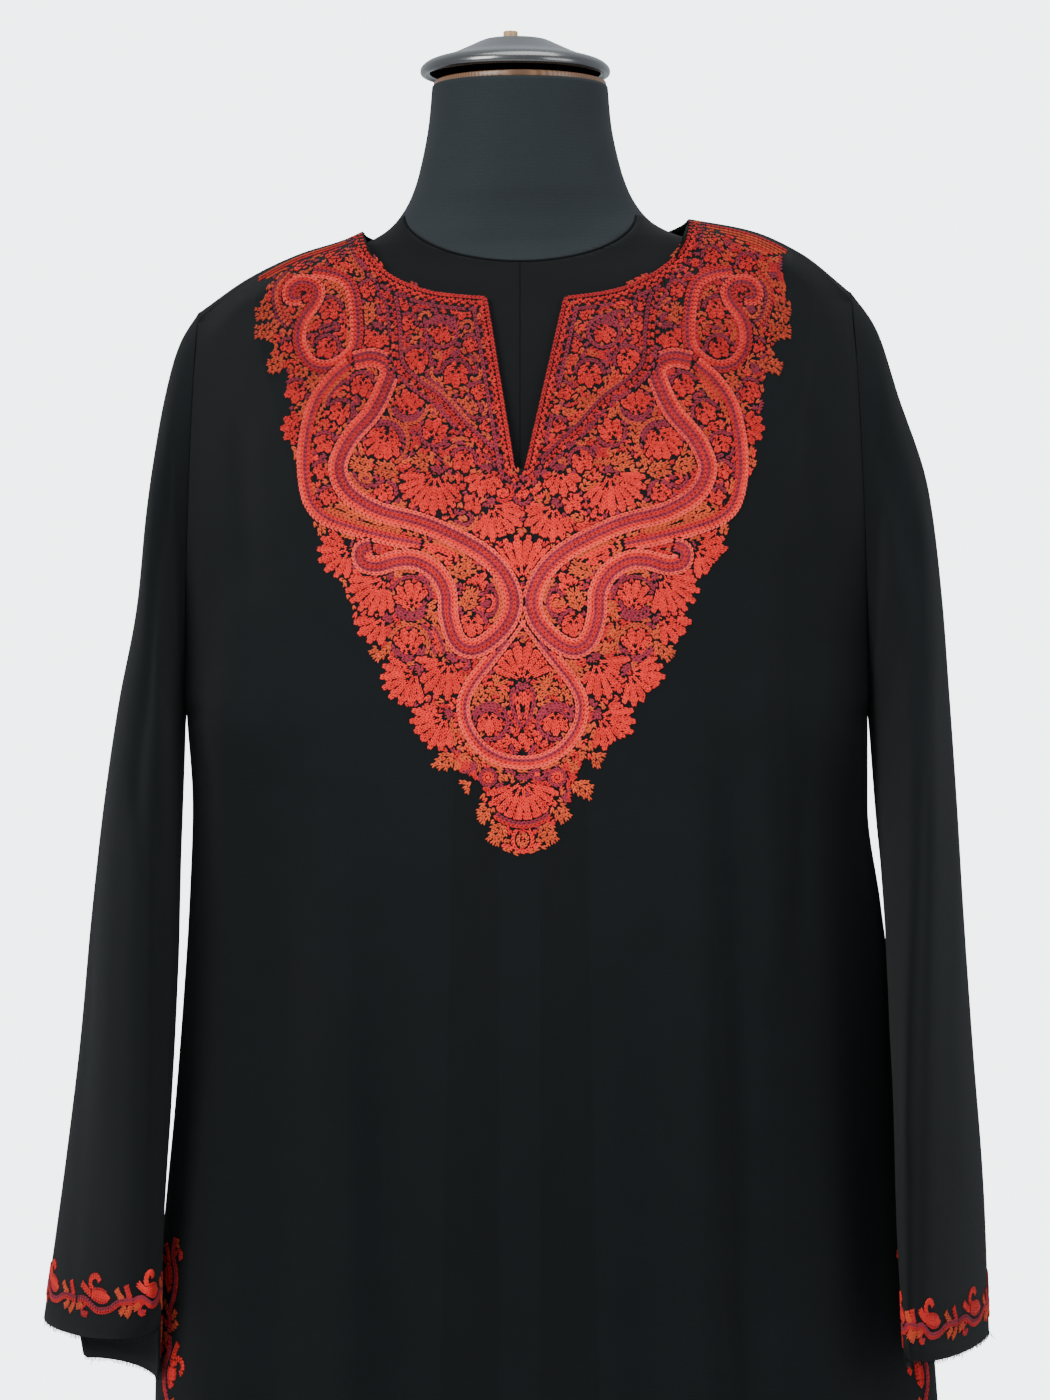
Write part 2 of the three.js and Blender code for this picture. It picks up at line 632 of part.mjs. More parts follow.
// A turned piece from its outline, radius and height, which starts and ends on the axis
function turned(outline, rounds = 40) {
  const profile = outline.map(([radius, height]) => new THREE.Vector2(radius, height));
  const geometry = new THREE.LatheGeometry(profile, rounds);
  return geometry.rotateX(Math.PI / 2);
}

function standBase() {
  const { radius, thick, bevel } = base;
  const shaft = poleRadius + seamGap;
  return turned([
    [0, 0],
    [radius, 0],
    [radius, thick - bevel],
    [radius - bevel, thick],
    [socket.radius + 4, thick + 1],
    [socket.radius, thick + 5],
    [socket.radius - 5, socket.top],
    [shaft, socket.top],
    [shaft, thick - 4],
    [0, thick - 4],
  ], 40);
}

function neckCap() {
  const { radius, rimZ, topZ, flat, boss } = cap;
  const bossZ = neckTopZ + seamGap + plate.thick + seamGap;
  return turned([
    [0, bossZ],
    [boss, bossZ],
    [boss, rimZ + 5],
    [radius - 4, rimZ + 2],
    [radius - 2.5, rimZ],
    [radius - 0.5, rimZ + 0.5],
    [radius, rimZ + 2],
    [radius - 1, rimZ + 4.5],
    [radius - 7, rimZ + 9],
    [radius * 0.72, topZ - 7.5],
    [radius * 0.5, topZ - 2.2],
    [flat, topZ],
    [0, topZ],
  ], 36);
}

function flatDisc(radius, bottomZ, thick, rounds) {
  return turned([[0, bottomZ], [radius, bottomZ], [radius, bottomZ + thick], [0, bottomZ + thick]], rounds);
}

const cloth = { color: 0x1b1f21, roughness: 0.85, metalness: 0 };
const jersey = { color: 0x2b3438, roughness: 0.8, metalness: 0 };
const wood = { color: 0x8a5a34, roughness: 0.6, metalness: 0 };
const paleWood = { color: 0xc79a63, roughness: 0.6, metalness: 0 };
const gloss = { color: 0x0a0b0c, roughness: 0.12, metalness: 0 };
const steel = { color: 0x202224, roughness: 0.35, metalness: 0.8 };

const pheran = new THREE.Group();
function add(name, geometry, finish, place = [0, 0, 0]) {
  const mesh = new THREE.Mesh(geometry, new THREE.MeshStandardMaterial(finish));
  mesh.name = name;
  mesh.position.set(...place);
  pheran.add(mesh);
}

add('front_panel', frontPanel(), cloth);
add('back_panel', backPanel(), cloth);
add('sleeve_right', sleeve(-1), cloth);
add('sleeve_left', sleeve(1), cloth);
add('form_torso', torso(), jersey);
add('neck_plate', flatDisc(plate.radius, neckTopZ + seamGap, plate.thick, 40), wood);
add('neck_cap', neckCap(), gloss, [cap.x, 0, 0]);
add('cap_peg', flatDisc(peg.radius, cap.topZ + seamGap, peg.height, 10), paleWood, [peg.x, 0, 0]);
const poleBottomZ = base.thick - 4 + seamGap;
const poleLength = formBottomZ - seamGap - poleBottomZ;
add('form_pole', flatDisc(poleRadius, poleBottomZ, poleLength, 32), steel);
add('form_base', standBase(), steel);

export default pheran;
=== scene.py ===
# A pheran with a chain-stitched yoke, worn by a limbless dress form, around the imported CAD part.
# The tables and shapes are in millimetres, as in the part's source, and meshes are made in metres.
import math

import bpy
import numpy as np
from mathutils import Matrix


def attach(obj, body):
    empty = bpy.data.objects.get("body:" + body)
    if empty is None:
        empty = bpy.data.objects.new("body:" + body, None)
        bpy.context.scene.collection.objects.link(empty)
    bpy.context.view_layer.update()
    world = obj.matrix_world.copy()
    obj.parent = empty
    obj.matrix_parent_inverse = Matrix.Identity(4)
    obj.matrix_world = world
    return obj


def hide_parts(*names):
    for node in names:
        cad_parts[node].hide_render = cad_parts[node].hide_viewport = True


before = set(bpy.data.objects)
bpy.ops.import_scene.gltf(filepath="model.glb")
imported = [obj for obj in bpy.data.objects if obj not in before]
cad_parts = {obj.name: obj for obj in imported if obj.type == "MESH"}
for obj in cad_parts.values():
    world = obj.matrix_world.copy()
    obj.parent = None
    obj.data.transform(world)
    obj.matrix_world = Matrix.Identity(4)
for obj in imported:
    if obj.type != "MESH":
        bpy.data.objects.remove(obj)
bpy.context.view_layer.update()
MM = 0.001
BODY = "root"
rng = np.random.default_rng(41)


def rows(names, *lines):
    """A short table with named columns, sorted by its first column."""
    data = np.array(sorted(lines), dtype=float)
    return {name: data[:, i] for i, name in enumerate(names.split())}


def smooth(value):
    t = np.clip(value, 0, 1)
    return t * t * (3 - 2 * t)


def mix(a, b, share):
    return a + (b - a) * share


def bend(share):
    """Close steps at the start, wide ones at the end."""
    return 1 - np.cos(share * np.pi / 2)


def read(table, name, at, key="z"):
    """Smooth values of a column at places on the key column, never past its rows' own values."""
    keys, values = table[key], table[name]
    at = np.clip(at, keys[0], keys[-1])
    i = np.clip(np.searchsorted(keys, at, side="left") - 1, 0, len(keys) - 2)
    rise = np.diff(values) / np.diff(keys)
    before, after = rise[:-1], rise[1:]
    same_way = before * after > 0
    inner = np.where(same_way, 2 * before * after / np.where(same_way, before + after, 1), 0)
    slope = np.concatenate([rise[:1], inner, rise[-1:]])
    span = keys[i + 1] - keys[i]
    t = (at - keys[i]) / span
    lead = span * (t * (1 - t) ** 2 * slope[i] - t * t * (1 - t) * slope[i + 1])
    return mix(values[i], values[i + 1], t * t * (3 - 2 * t)) + lead


# Sizes of the cloth and the form, as in the part's source

WALL = 1.6
SEAM_GAP = 0.3
AIR = 1.6
HEM_Z = 280
SLIT_TOP_Z = 729
SHOULDER_SEAM_Y = -14
FORM_BOTTOM_Z = 670
NECK_TOP_Z = 1452
CHEST_Z = 1020
YOKE_TOP_Z = 1366
YOKE_TIP_Z = 967
ARMHOLE_HALF_DEPTH = 42
STEP_WIDTH = 2.2
SLIT_HALF = 2.5
SLIT_REACH = 0.424
SLIT_OPENING = 13
NECK_FOOT_X = 110
SHOULDER_ROLL = 18
CLOTH_ROUNDNESS = 2.4
HEM_SPREAD = 1.4

ARMHOLES = {
    -1: {"tip_x": 204, "tip_z": 1310, "pit_x": 212, "pit_z": 1056},
    1: {"tip_x": 210, "tip_z": 1323, "pit_x": 221, "pit_z": 1056},
}
RIDGES = {
    -1: rows("x z", (204, 1310), (172, 1332), (140, 1347), (111, 1356), (100, 1361)),
    1: rows("x z", (210, 1323), (178, 1348), (146, 1362), (107, 1369)),
}
FRONT_NECKS = {
    -1: rows("share x z", (0, 100, 1360), (0.25, 95, 1345), (0.5, 80, 1328), (0.75, 50, 1316), (1, 20, 1313)),
    1: rows("share x z", (0, 107, 1368), (0.25, 103, 1350), (0.5, 88, 1333), (0.75, 58, 1318), (1, 27, 1313)),
}
BACK_NECK = rows(
    "place share y drop",
    (0, 1, SHOULDER_SEAM_Y, 1.2), (0.25, 0.96, 21, 2), (0.5, 0.8, 48, 4), (0.75, 0.48, 63, 9), (1, 0, 70, 15),
)
WIDTHS = rows(
    "z right left",
    (1056, 212, 221), (996, 208, 221), (936, 210, 229), (872, 214, 237), (808, 219, 243), (745, 225, 249),
    (700, 229, 255), (650, 231, 263), (560, 233, 268), (420, 244, 270), (HEM_Z, 252, 272),
)
DEPTHS = rows(
    "z front back",
    (1370, 50, 62), (1340, 60, 73), (1316, 72, 84), (1280, 90, 95), (1240, 103, 101), (1200, 113, 103),
    (1160, 120, 102), (1120, 124, 100), (1040, 122, 98), (940, 119, 100), (860, 120, 107), (800, 122, 114),
    (700, 126, 118), (500, 133, 123), (HEM_Z, 140, 129),
)
YOKE = rows(
    "z right left",
    (YOKE_TOP_Z, 163, 170), (1319, 165, 172), (1282, 160, 163), (1240, 148, 153), (1210, 139, 147),
    (1180, 130, 132), (1142, 116, 113), (1112, 103, 103), (1090, 88, 89), (1069, 80, 77), (1054, 69, 70),
    (1035, 53, 53), (1020, 40, 42), (1002, 25, 36), (984, 17, 22), (YOKE_TIP_Z, 2, 8),
)
FORM = rows(
    "z half front back",
    (NECK_TOP_Z, 56, 59, 54), (1430, 58, 57, 54), (1400, 64, 55, 55), (1385, 69, 54, 56), (1374, 75, 52, 58),
    (1364, 84, 51, 60), (1356, 98, 51, 61), (1351.5, 111, 51, 63), (1343, 138, 53, 66), (1337, 156, 56, 69),
    (1326, 171, 63, 74), (1310, 184, 71, 80), (1292, 190, 80, 87), (1262, 180, 92, 92), (1220, 165, 103, 96),
    (1175, 154, 112, 95), (1130, 150, 117, 89), (1080, 141, 113, 81), (1030, 129, 100, 72),
    (980, 120, 91, 68), (930, 127, 91, 76), (870, 147, 103, 92), (800, 165, 112, 107),
    (740, 165, 110, 104), (FORM_BOTTOM_Z, 158, 100, 95),
)
FORM_ROUNDNESS = 2.4
FORM_LEAN = 0.03
SLEEVES = {
    -1: rows(
        "s out_x out_z in_x in_z y depth turn",
        (0, 204, 1310, 212, 1056, 0, 42, 0), (1, 216, 1290, 212.6, 1053, 0, 48, 0),
        (2, 226, 1254, 213, 1044, -1, 58, 1), (3, 236, 1190, 213.4, 1022, -2, 72, 2),
        (4, 243, 1127, 213.8, 990, -3, 84, 4), (5, 256, 1063, 214, 955, -4, 91, 7),
        (6, 266, 999, 214, 915, -6, 92, 10), (7, 275, 925, 215, 866, -8, 88, 14),
        (8, 283, 850, 217, 812, -10, 82, 19), (9, 295, 760, 221, 738, -12, 75, 26),
        (10, 307, 667, 223, 661, -14, 68, 32),
    ),
    1: rows(
        "s out_x out_z in_x in_z y depth turn",
        (0, 210, 1323, 221, 1056, 0, 42, 0), (1, 226, 1300, 221.6, 1053, 0, 48, 0),
        (2, 240, 1258, 222.2, 1044, -1, 58, 1), (3, 259, 1194, 223.5, 1022, -4, 72, 2),
        (4, 267, 1127, 225, 990, -11, 84, 4), (5, 272, 1063, 226.5, 955, -22, 90, 7),
        (6, 277, 999, 227, 915, -34, 90, 11), (7, 282, 925, 227, 866, -45, 87, 16),
        (8, 288, 850, 228, 812, -52, 82, 21), (9, 295, 760, 229, 738, -57, 76, 26),
        (10, 299, 662, 233, 656, -60, 72, 30),
    ),
}
# How far each cuff slants, and how much lower its back hangs than its front
CUFF_SLOPE = {-1: 0.28, 1: 0.19}
CUFF_FALL = {-1: 1.95, 1: 0.8}

# Folds: place and level at the top, place and level at the end, half width and height (below 0 a trough)
FRONT_FOLDS = (
    (-178, 1150, -205, 820, 13, 7), (-144, 1130, -160, HEM_Z, 18, -8.5), (-112, 1100, -104, HEM_Z, 15, 8.5),
    (-84, 980, -74, HEM_Z, 13, -7), (76, 940, 80, HEM_Z, 12, -4), (112, 1090, 118, HEM_Z, 13, 7),
    (126, 1120, 142, HEM_Z, 10, -8.5), (147, 1130, 158, 860, 10, 5.5), (164, 1150, 172, 900, 8, -4),
    (190, 1060, 205, HEM_Z, 18, 5.5),
)
BACK_FOLDS = (
    (-168, 1200, -186, HEM_Z, 16, 7.5), (-126, 1180, -130, HEM_Z, 16, -9), (-78, 1120, -84, HEM_Z, 18, 9),
    (-22, 1080, -30, HEM_Z, 15, -7.5), (40, 1100, 34, HEM_Z, 18, 7.5), (92, 1150, 98, HEM_Z, 16, -9),
    (136, 1190, 150, HEM_Z, 17, 9), (182, 1080, 208, HEM_Z, 14, -6),
)
# Shallow creases between the folds, too fine for the part's solids
FRONT_CREASES = (
    (190, 1152, 153, 800, 5, -1.6), (217, 840, 224, HEM_Z, 8, -3), (-176, 1262, -166, 1120, 9, -2),
    (178, 1268, 184, 1130, 9, -2.2), (-192, 1090, -203, 640, 6, 1.6), (-30, 900, -40, 420, 16, 1.4),
    (34, 880, 28, 360, 14, -1.5), (-126, 1000, -131, 520, 6, 1.2), (60, 700, 50, HEM_Z, 9, 1.8),
    (-58, 640, -52, HEM_Z, 8, -1.8), (-196, 720, -210, HEM_Z, 10, 2.5), (176, 640, 182, HEM_Z, 9, -2.4),
)
BACK_CREASES = (
    (-150, 1150, -160, 640, 6, -1.6), (-50, 1010, -56, 480, 9, -2), (8, 960, 2, HEM_Z, 9, 2),
    (68, 1020, 70, 560, 8, -1.8), (118, 1000, 124, HEM_Z, 7, 1.8), (166, 1170, 176, 760, 7, -2),
    (-200, 900, -214, HEM_Z, 9, 2.4), (-104, 760, -108, HEM_Z, 8, 1.6),
)
# Folds along a sleeve: place round it in degrees (0 outside, 90 front), rows of its table, half width, height
SLEEVE_FOLDS = {
    -1: (
        (38, 2, 9, 17, 4), (74, 1, 6, 15, -5), (-60, 3, 9, 20, 4), (100, 5, 10.5, 9, 1.6),
        (12, 4, 10.5, 9, -1.4),
    ),
    1: (
        (66, 0.5, 3.5, 13, -5), (96, 1, 9, 16, 4), (40, 4, 9.5, 18, -3), (-70, 3, 9, 20, 4),
        (76, 5, 10.5, 8, -1.6), (14, 2, 8, 9, 1.4),
    ),
}


# The dress form

def lean_at(x, z):
    return FORM_LEAN * x * smooth((z - 1080) / 180) * (1 - smooth((z - 1385) / 50))


def form_depth(x, z, face):
    """Depth of the form at points of the front view, 0 beside it."""
    level = z - lean_at(x, z)
    across = np.minimum(np.abs(x) / read(FORM, "half", level), 1)
    depth = read(FORM, face, level) * (1 - across ** FORM_ROUNDNESS) ** (1 / FORM_ROUNDNESS)
    return np.where((level > 1367) & (face == "back"), 0, depth)


def form_point(z, angle):
    """Points on the form at a level of its table and an angle, 0 towards the wearer's left."""
    power = 2 / FORM_ROUNDNESS
    x = np.sign(np.cos(angle)) * np.abs(np.cos(angle)) ** power * read(FORM, "half", z)
    depth = np.where(np.sin(angle) < 0, read(FORM, "front", z), read(FORM, "back", z))
    y = np.sign(np.sin(angle)) * np.abs(np.sin(angle)) ** power * depth
    return np.stack([x, y, z + lean_at(x, z)], axis=-1)


# The cloth's outer surface

def pick(side, name):
    return np.where(side < 0, ARMHOLES[-1][name], ARMHOLES[1][name])


def edge_x(side, z):
    """Where the panels end at the side: the armhole above the underarm, the side seam and slit below."""
    low = np.where(side < 0, read(WIDTHS, "right", z), read(WIDTHS, "left", z))
    tip, pit = pick(side, "tip_z"), pick(side, "pit_z")
    high = mix(pick(side, "pit_x"), pick(side, "tip_x"), np.clip((z - pit) / (tip - pit), 0, 1))
    return np.where(z < pit, low, high)


def edge_depth(side, z, face):
    tip, pit = pick(side, "tip_z"), pick(side, "pit_z")
    low = SEAM_GAP / 2 + SLIT_OPENING * smooth((SLIT_TOP_Z - z) / (SLIT_TOP_Z - HEM_Z))
    middle, half = (tip + pit) / 2, (tip - pit) / 2
    ring = ARMHOLE_HALF_DEPTH * np.sqrt(np.maximum(1 - ((z - middle) / half) ** 2, 0))
    least = -SHOULDER_SEAM_Y if face == "front" else 0
    high = np.where(z > middle, np.maximum(ring, least), np.maximum(ring, SEAM_GAP / 2))
    return np.where(z < pit, low, high)


def ridge_z(x):
    right = read(RIDGES[-1], "z", np.abs(x), "x")
    return np.where(x < 0, right, read(RIDGES[1], "z", np.abs(x), "x"))


def seam_z(x):
    """The shoulder seam lies a little below the ridge, and more so towards the tip."""
    side = np.where(x < 0, -1, 1)
    half = (pick(side, "tip_z") - pick(side, "pit_z")) / 2
    tip_drop = half * (1 - math.sqrt(1 - (SHOULDER_SEAM_Y / ARMHOLE_HALF_DEPTH) ** 2))
    near_neck = 1.2
    share = np.clip((np.abs(x) - NECK_FOOT_X) / (pick(side, "tip_x") - NECK_FOOT_X), 0, 1)
    return ridge_z(x) - near_neck - (tip_drop - near_neck) * share ** 2


def fold_height(folds, x, z):
    height = 0 * x
    for top_x, top_z, end_x, end_z, half, rise in folds:
        along = (top_z - z) / (top_z - end_z)
        fade_out = 1 if end_z == HEM_Z else smooth((1 - along) * 4)
        middle = mix(top_x, end_x, np.clip(along, 0, 1))
        height = height + rise * smooth(along * 4) * fade_out * np.exp(-(((x - middle) / half) ** 2))
    return height


def cloth_depth(x, z, face):
    """Depth of the cloth's outer face at points of the front view."""
    x, z = np.asarray(x, dtype=float), np.asarray(z, dtype=float)
    side = np.where(x < 0, -1, 1)
    across = np.minimum(np.abs(x) / edge_x(side, z), 1)
    edge = edge_depth(side, z, face)
    limp = sum(edge_depth(side, z + step, face) for step in (-45, -30, -15, 0, 15, 30, 45)) / 7
    edge = mix(edge, limp, smooth((1 - across) * 9))
    full = read(DEPTHS, face, z)
    roundness = mix(1, 0.44, smooth((1150 - z) / 110))
    below = (seam_z(x) if face == "front" else ridge_z(x)) - z
    roll = 1 - (1 - np.clip(below / SHOULDER_ROLL, 0, 1)) ** 2
    table = FRONT_FOLDS + FRONT_CREASES if face == "front" else BACK_FOLDS + BACK_CREASES
    folds = fold_height(table, x, z) * smooth((1 - across) * 5)
    hang = edge + (full - edge) * (1 - across ** CLOTH_ROUNDNESS) ** roundness * roll + folds
    on_form = form_depth(x, z, face)
    return np.where(on_form > 0, np.maximum(hang, on_form + AIR + WALL), hang)


def front_point(x, z):
    """Points on the front panel's outer face, in millimetres."""
    return np.stack([x, -cloth_depth(x, z, "front"), z], axis=-1)


def back_point(x, z):
    return np.stack([x, cloth_depth(x, z, "back"), z], axis=-1)


# Mesh helpers

def new_object(name, mesh):
    made = bpy.data.objects.new(name, mesh)
    bpy.context.scene.collection.objects.link(made)
    return made


def apply_modifiers(piece):
    """Turns the evaluated piece into its plain mesh."""
    depsgraph = bpy.context.evaluated_depsgraph_get()
    mesh = bpy.data.meshes.new_from_object(piece.evaluated_get(depsgraph), depsgraph=depsgraph)
    piece.modifiers.clear()
    piece.data = mesh
    mesh.name = piece.name
    return piece


def arc_lengths(grid, axis):
    """Running length along one axis of a grid of points, averaged over the other one."""
    steps = np.linalg.norm(np.diff(grid, axis=axis), axis=2)
    mean = steps.mean(axis=1 - axis)
    return np.concatenate([[0], np.cumsum(mean)])


def grid_object(name, grid, outward, keeps=None, closed=False):
    """A one-layer mesh over a grid of points (columns, rows, 3) in millimetres, with a UV map in metres."""
    if closed:
        grid = np.concatenate([grid, grid[:1]])
    columns, count = grid.shape[:2]
    i, j = np.meshgrid(np.arange(columns - 1), np.arange(count - 1), indexing="ij")
    kept = np.ones(i.shape, dtype=bool) if keeps is None else keeps(i, j)
    i, j = i[kept], j[kept]
    a, b = i * count + j, i * count + j + 1
    c, d = (i + 1) * count + j + 1, (i + 1) * count + j
    faces = np.stack([a, b, c, d] if outward else [a, d, c, b], axis=1)
    mesh = bpy.data.meshes.new(name)
    mesh.from_pydata((grid.reshape(-1, 3) * MM).tolist(), [], faces.tolist())
    across, down = arc_lengths(grid, 0), arc_lengths(grid, 1)
    flat = np.stack(np.meshgrid(across, down, indexing="ij"), axis=-1).reshape(-1, 2) * MM
    uv = mesh.uv_layers.new(name="cloth_uv")
    uv.data.foreach_set("uv", flat[faces.ravel()].ravel())
    mesh.polygons.foreach_set("use_smooth", np.ones(len(faces), dtype=bool))
    made = new_object(name, mesh)
    weld = made.modifiers.new("weld", "WELD")
    weld.merge_threshold = 0.00001
    return made


def cloth_piece(name, grid, outward, **how):
    """A cloth wall: the outer layer thickened inwards."""
    made = grid_object(name, grid, outward, **how)
    wall = made.modifiers.new("wall", "SOLIDIFY")
    wall.thickness = WALL * MM
    wall.offset = -1
    wall.use_rim = True
    return apply_modifiers(made)


def turned_piece(name, outline, rounds, place=(0, 0)):
    """A turned piece from its outline of radius and height, which starts and ends on the axis."""
    outline = np.array(outline, dtype=float)
    angles = 2 * np.pi * np.arange(rounds) / rounds
    x = place[0] + outline[None, :, 0] * np.cos(angles)[:, None]
    y = place[1] + outline[None, :, 0] * np.sin(angles)[:, None]
    z = np.broadcast_to(outline[:, 1], x.shape)
    made = grid_object(name, np.stack([x, y, z], axis=-1), outward=False, closed=True)
    return apply_modifiers(made)


def round_outline(points, steps=6):
    """More points on a smooth curve through those of an outline, which keeps its two ends."""
    points = np.array(points, dtype=float)
    padded = np.concatenate([points[:1], points, points[-1:]])
    made = []
    for before, start, end, after in zip(padded, padded[1:], padded[2:], padded[3:]):
        for t in np.arange(steps) / steps:
            cubic = 2 * start + (end - before) * t
            cubic = cubic + (2 * before - 5 * start + 4 * end - after) * t ** 2
            made.append((cubic + (3 * start - 3 * end + after - before) * t ** 3) / 2)
    return np.array(made + [points[-1]])


# Node helpers

def add_node(tree, kind, inputs=None, **settings):
    made = tree.nodes.new(kind)
    for name, value in settings.items():
        setattr(made, name, value)
    for name, value in (inputs or {}).items():
        socket = made.inputs[name]
        if isinstance(value, bpy.types.NodeSocket):
            tree.links.new(value, socket)
        else:
            socket.default_value = value
    return made


def maths(tree, operation, first, second=0.0):
    made = add_node(tree, "ShaderNodeMath", {0: first, 1: second}, operation=operation)
    return made.outputs[0]


def weighted(tree, first, first_weight, second, second_weight):
    """The sum of two values, each times its weight."""
    one = maths(tree, "MULTIPLY", first, first_weight)
    return maths(tree, "ADD", one, maths(tree, "MULTIPLY", second, second_weight))


def shader_group(name, inputs, outputs):
    tree = bpy.data.node_groups.new(name, "ShaderNodeTree")
    for label, value in inputs.items():
        kind = "NodeSocketVector" if value is None else "NodeSocketFloat"
        kind = "NodeSocketColor" if isinstance(value, tuple) else kind
        socket = tree.interface.new_socket(label, in_out="INPUT", socket_type=kind)
        if value is not None:
            socket.default_value = value
    for label, kind in outputs.items():
        tree.interface.new_socket(label, in_out="OUTPUT", socket_type=kind)
    return tree, tree.nodes.new("NodeGroupInput").outputs, tree.nodes.new("NodeGroupOutput").inputs


def noise_at(tree, place, scale, detail=3.0):
    made = add_node(tree, "ShaderNodeTexNoise", {"Vector": place, "Scale": scale, "Detail": detail})
    return made.outputs["Fac"]


def colours_between(tree, share, dark, light):
    made = add_node(tree, "ShaderNodeMix", {"Factor": share}, data_type="RGBA")
    for socket, value in ((made.inputs[6], dark), (made.inputs[7], light)):
        if isinstance(value, bpy.types.NodeSocket):
            tree.links.new(value, socket)
        else:
            socket.default_value = (*value, 1) if len(value) == 3 else value
    return made.outputs[2]


def weave_group():
    """Fine twill: diagonal ribs crossed by threads, with uneven wool, from a place in metres."""
    tree, given, wanted = shader_group(
        "woven twill",
        {"Place": None, "Threads per metre": 1300.0, "Rib": 0.6, "Dark": (0.01, 0.01, 0.01, 1),
         "Light": (0.02, 0.02, 0.02, 1)},
        {"Colour": "NodeSocketColor", "Height": "NodeSocketFloat"},
    )
    parts = add_node(tree, "ShaderNodeSeparateXYZ", {0: given["Place"]})
    diagonal = maths(tree, "ADD", parts.outputs["X"], maths(tree, "MULTIPLY", parts.outputs["Y"], 0.8))
    turns = maths(tree, "MULTIPLY", given["Threads per metre"], 2 * math.pi)
    rib = maths(tree, "SINE", maths(tree, "MULTIPLY", diagonal, turns))
    across = maths(tree, "SINE", maths(tree, "MULTIPLY", parts.outputs["Y"], turns))
    wool = noise_at(tree, given["Place"], 900.0, 2.0)
    uneven = noise_at(tree, given["Place"], 28.0, 4.0)
    threads = weighted(tree, rib, given["Rib"], across, 0.25)
    tree.links.new(maths(tree, "ADD", threads, wool), wanted["Height"])
    share = weighted(tree, wool, 0.55, uneven, 0.45)
    share = maths(tree, "ADD", share, maths(tree, "MULTIPLY", rib, 0.08))
    tree.links.new(colours_between(tree, share, given["Dark"], given["Light"]), wanted["Colour"])
    return tree


def wood_group():
    """Wood grain along X from a place in metres."""
    tree, given, wanted = shader_group(
        "wood grain",
        {"Place": None, "Rings per metre": 240.0, "Dark": (0.1, 0.05, 0.02, 1), "Light": (0.3, 0.2, 0.1, 1)},
        {"Colour": "NodeSocketColor", "Height": "NodeSocketFloat"},
    )
    long = add_node(tree, "ShaderNodeMapping", {"Vector": given["Place"], "Scale": (0.12, 1, 1)})
    rings = add_node(
        tree, "ShaderNodeTexWave",
        {"Vector": long.outputs[0], "Scale": given["Rings per metre"], "Distortion": 3.0, "Detail": 3.0},
        bands_direction="Y",
    )
    pores = noise_at(tree, long.outputs[0], 2600.0, 2.0)
    share = weighted(tree, rings.outputs["Fac"], 0.6, pores, 0.4)
    tree.links.new(colours_between(tree, share, given["Dark"], given["Light"]), wanted["Colour"])
    tree.links.new(share, wanted["Height"])
    return tree


def wear_group():
    """Small scuffs and dust on a hard surface, as a change in roughness."""
    tree, given, wanted = shader_group(
        "scuffs",
        {"Place": None, "Clean": 0.2, "Scuffed": 0.4},
        {"Roughness": "NodeSocketFloat", "Height": "NodeSocketFloat"},
    )
    cloud = noise_at(tree, given["Place"], 35.0, 6.0)
    dust = noise_at(tree, given["Place"], 420.0, 3.0)
    share = maths(tree, "MULTIPLY", cloud, dust)
    made = add_node(tree, "ShaderNodeMapRange", {"Value": share, 1: 0.1, 2: 0.5})
    tree.links.new(given["Clean"], made.inputs[3])
    tree.links.new(given["Scuffed"], made.inputs[4])
    tree.links.new(made.outputs[0], wanted["Roughness"])
    tree.links.new(dust, wanted["Height"])
    return tree


WEAVE = weave_group()
WOOD = wood_group()
SCUFFS = wear_group()


def material(name, roughness, **plain):
    """A new material with its Principled shader; plain values go straight onto the shader's sockets."""
    made = bpy.data.materials.new(name)
    made.use_nodes = True
    tree = made.node_tree
    shader = tree.nodes["Principled BSDF"]
    shader.inputs["Roughness"].default_value = roughness
    for label, value in plain.items():
        shader.inputs[label.replace("_", " ").title().replace("Ior", "IOR")].default_value = value
    return made, tree, shader


def bump(tree, shader, height, distance):
    made = add_node(tree, "ShaderNodeBump", {"Height": height, "Distance": distance, "Strength": 1.0})
    tree.links.new(made.outputs["Normal"], shader.inputs["Normal"])


def placed(tree):
    """The place on a piece, in metres."""
    return add_node(tree, "ShaderNodeTexCoord").outputs["Object"]


def cloth_finish(name, dark, light):
    """Fine wool twill along the cloth's own UV map, with soft unevenness."""
    made, tree, shader = material(
        name, 0.86, sheen_weight=0.04, sheen_roughness=0.45, specular_ior_level=0.12,
    )
    uv = add_node(tree, "ShaderNodeUVMap", uv_map="cloth_uv")
    weave = add_node(tree, "ShaderNodeGroup", node_tree=WEAVE)
    tree.links.new(uv.outputs[0], weave.inputs["Place"])
    weave.inputs["Dark"].default_value = (*dark, 1)
    weave.inputs["Light"].default_value = (*light, 1)
    tree.links.new(weave.outputs["Colour"], shader.inputs["Base Color"])
    limp = noise_at(tree, placed(tree), 16.0, 3.0)
    height = maths(tree, "ADD", maths(tree, "MULTIPLY", limp, 14.0), weave.outputs["Height"])
    bump(tree, shader, height, 0.00011)
    return made


def thread_finish(name, dark, light):
    """Crewel wool: each stitch has its own shade, and the yarn its own fine hairs. On the yoke the shade also
    holds painted light and shade, brighter lower down.
    """
    made, tree, shader = material(name, 0.72, sheen_weight=0.1, sheen_roughness=0.4, specular_ior_level=0.22)
    shade = add_node(tree, "ShaderNodeAttribute", attribute_name="shade").outputs["Fac"]
    place = placed(tree)
    dye = noise_at(tree, place, 22.0, 2.0)
    share = weighted(tree, shade, 0.6, dye, 0.4)
    tree.links.new(colours_between(tree, share, dark, light), shader.inputs["Base Color"])
    hairs = noise_at(tree, place, 1900.0, 2.0)
    bump(tree, shader, hairs, 0.00035)
    return made


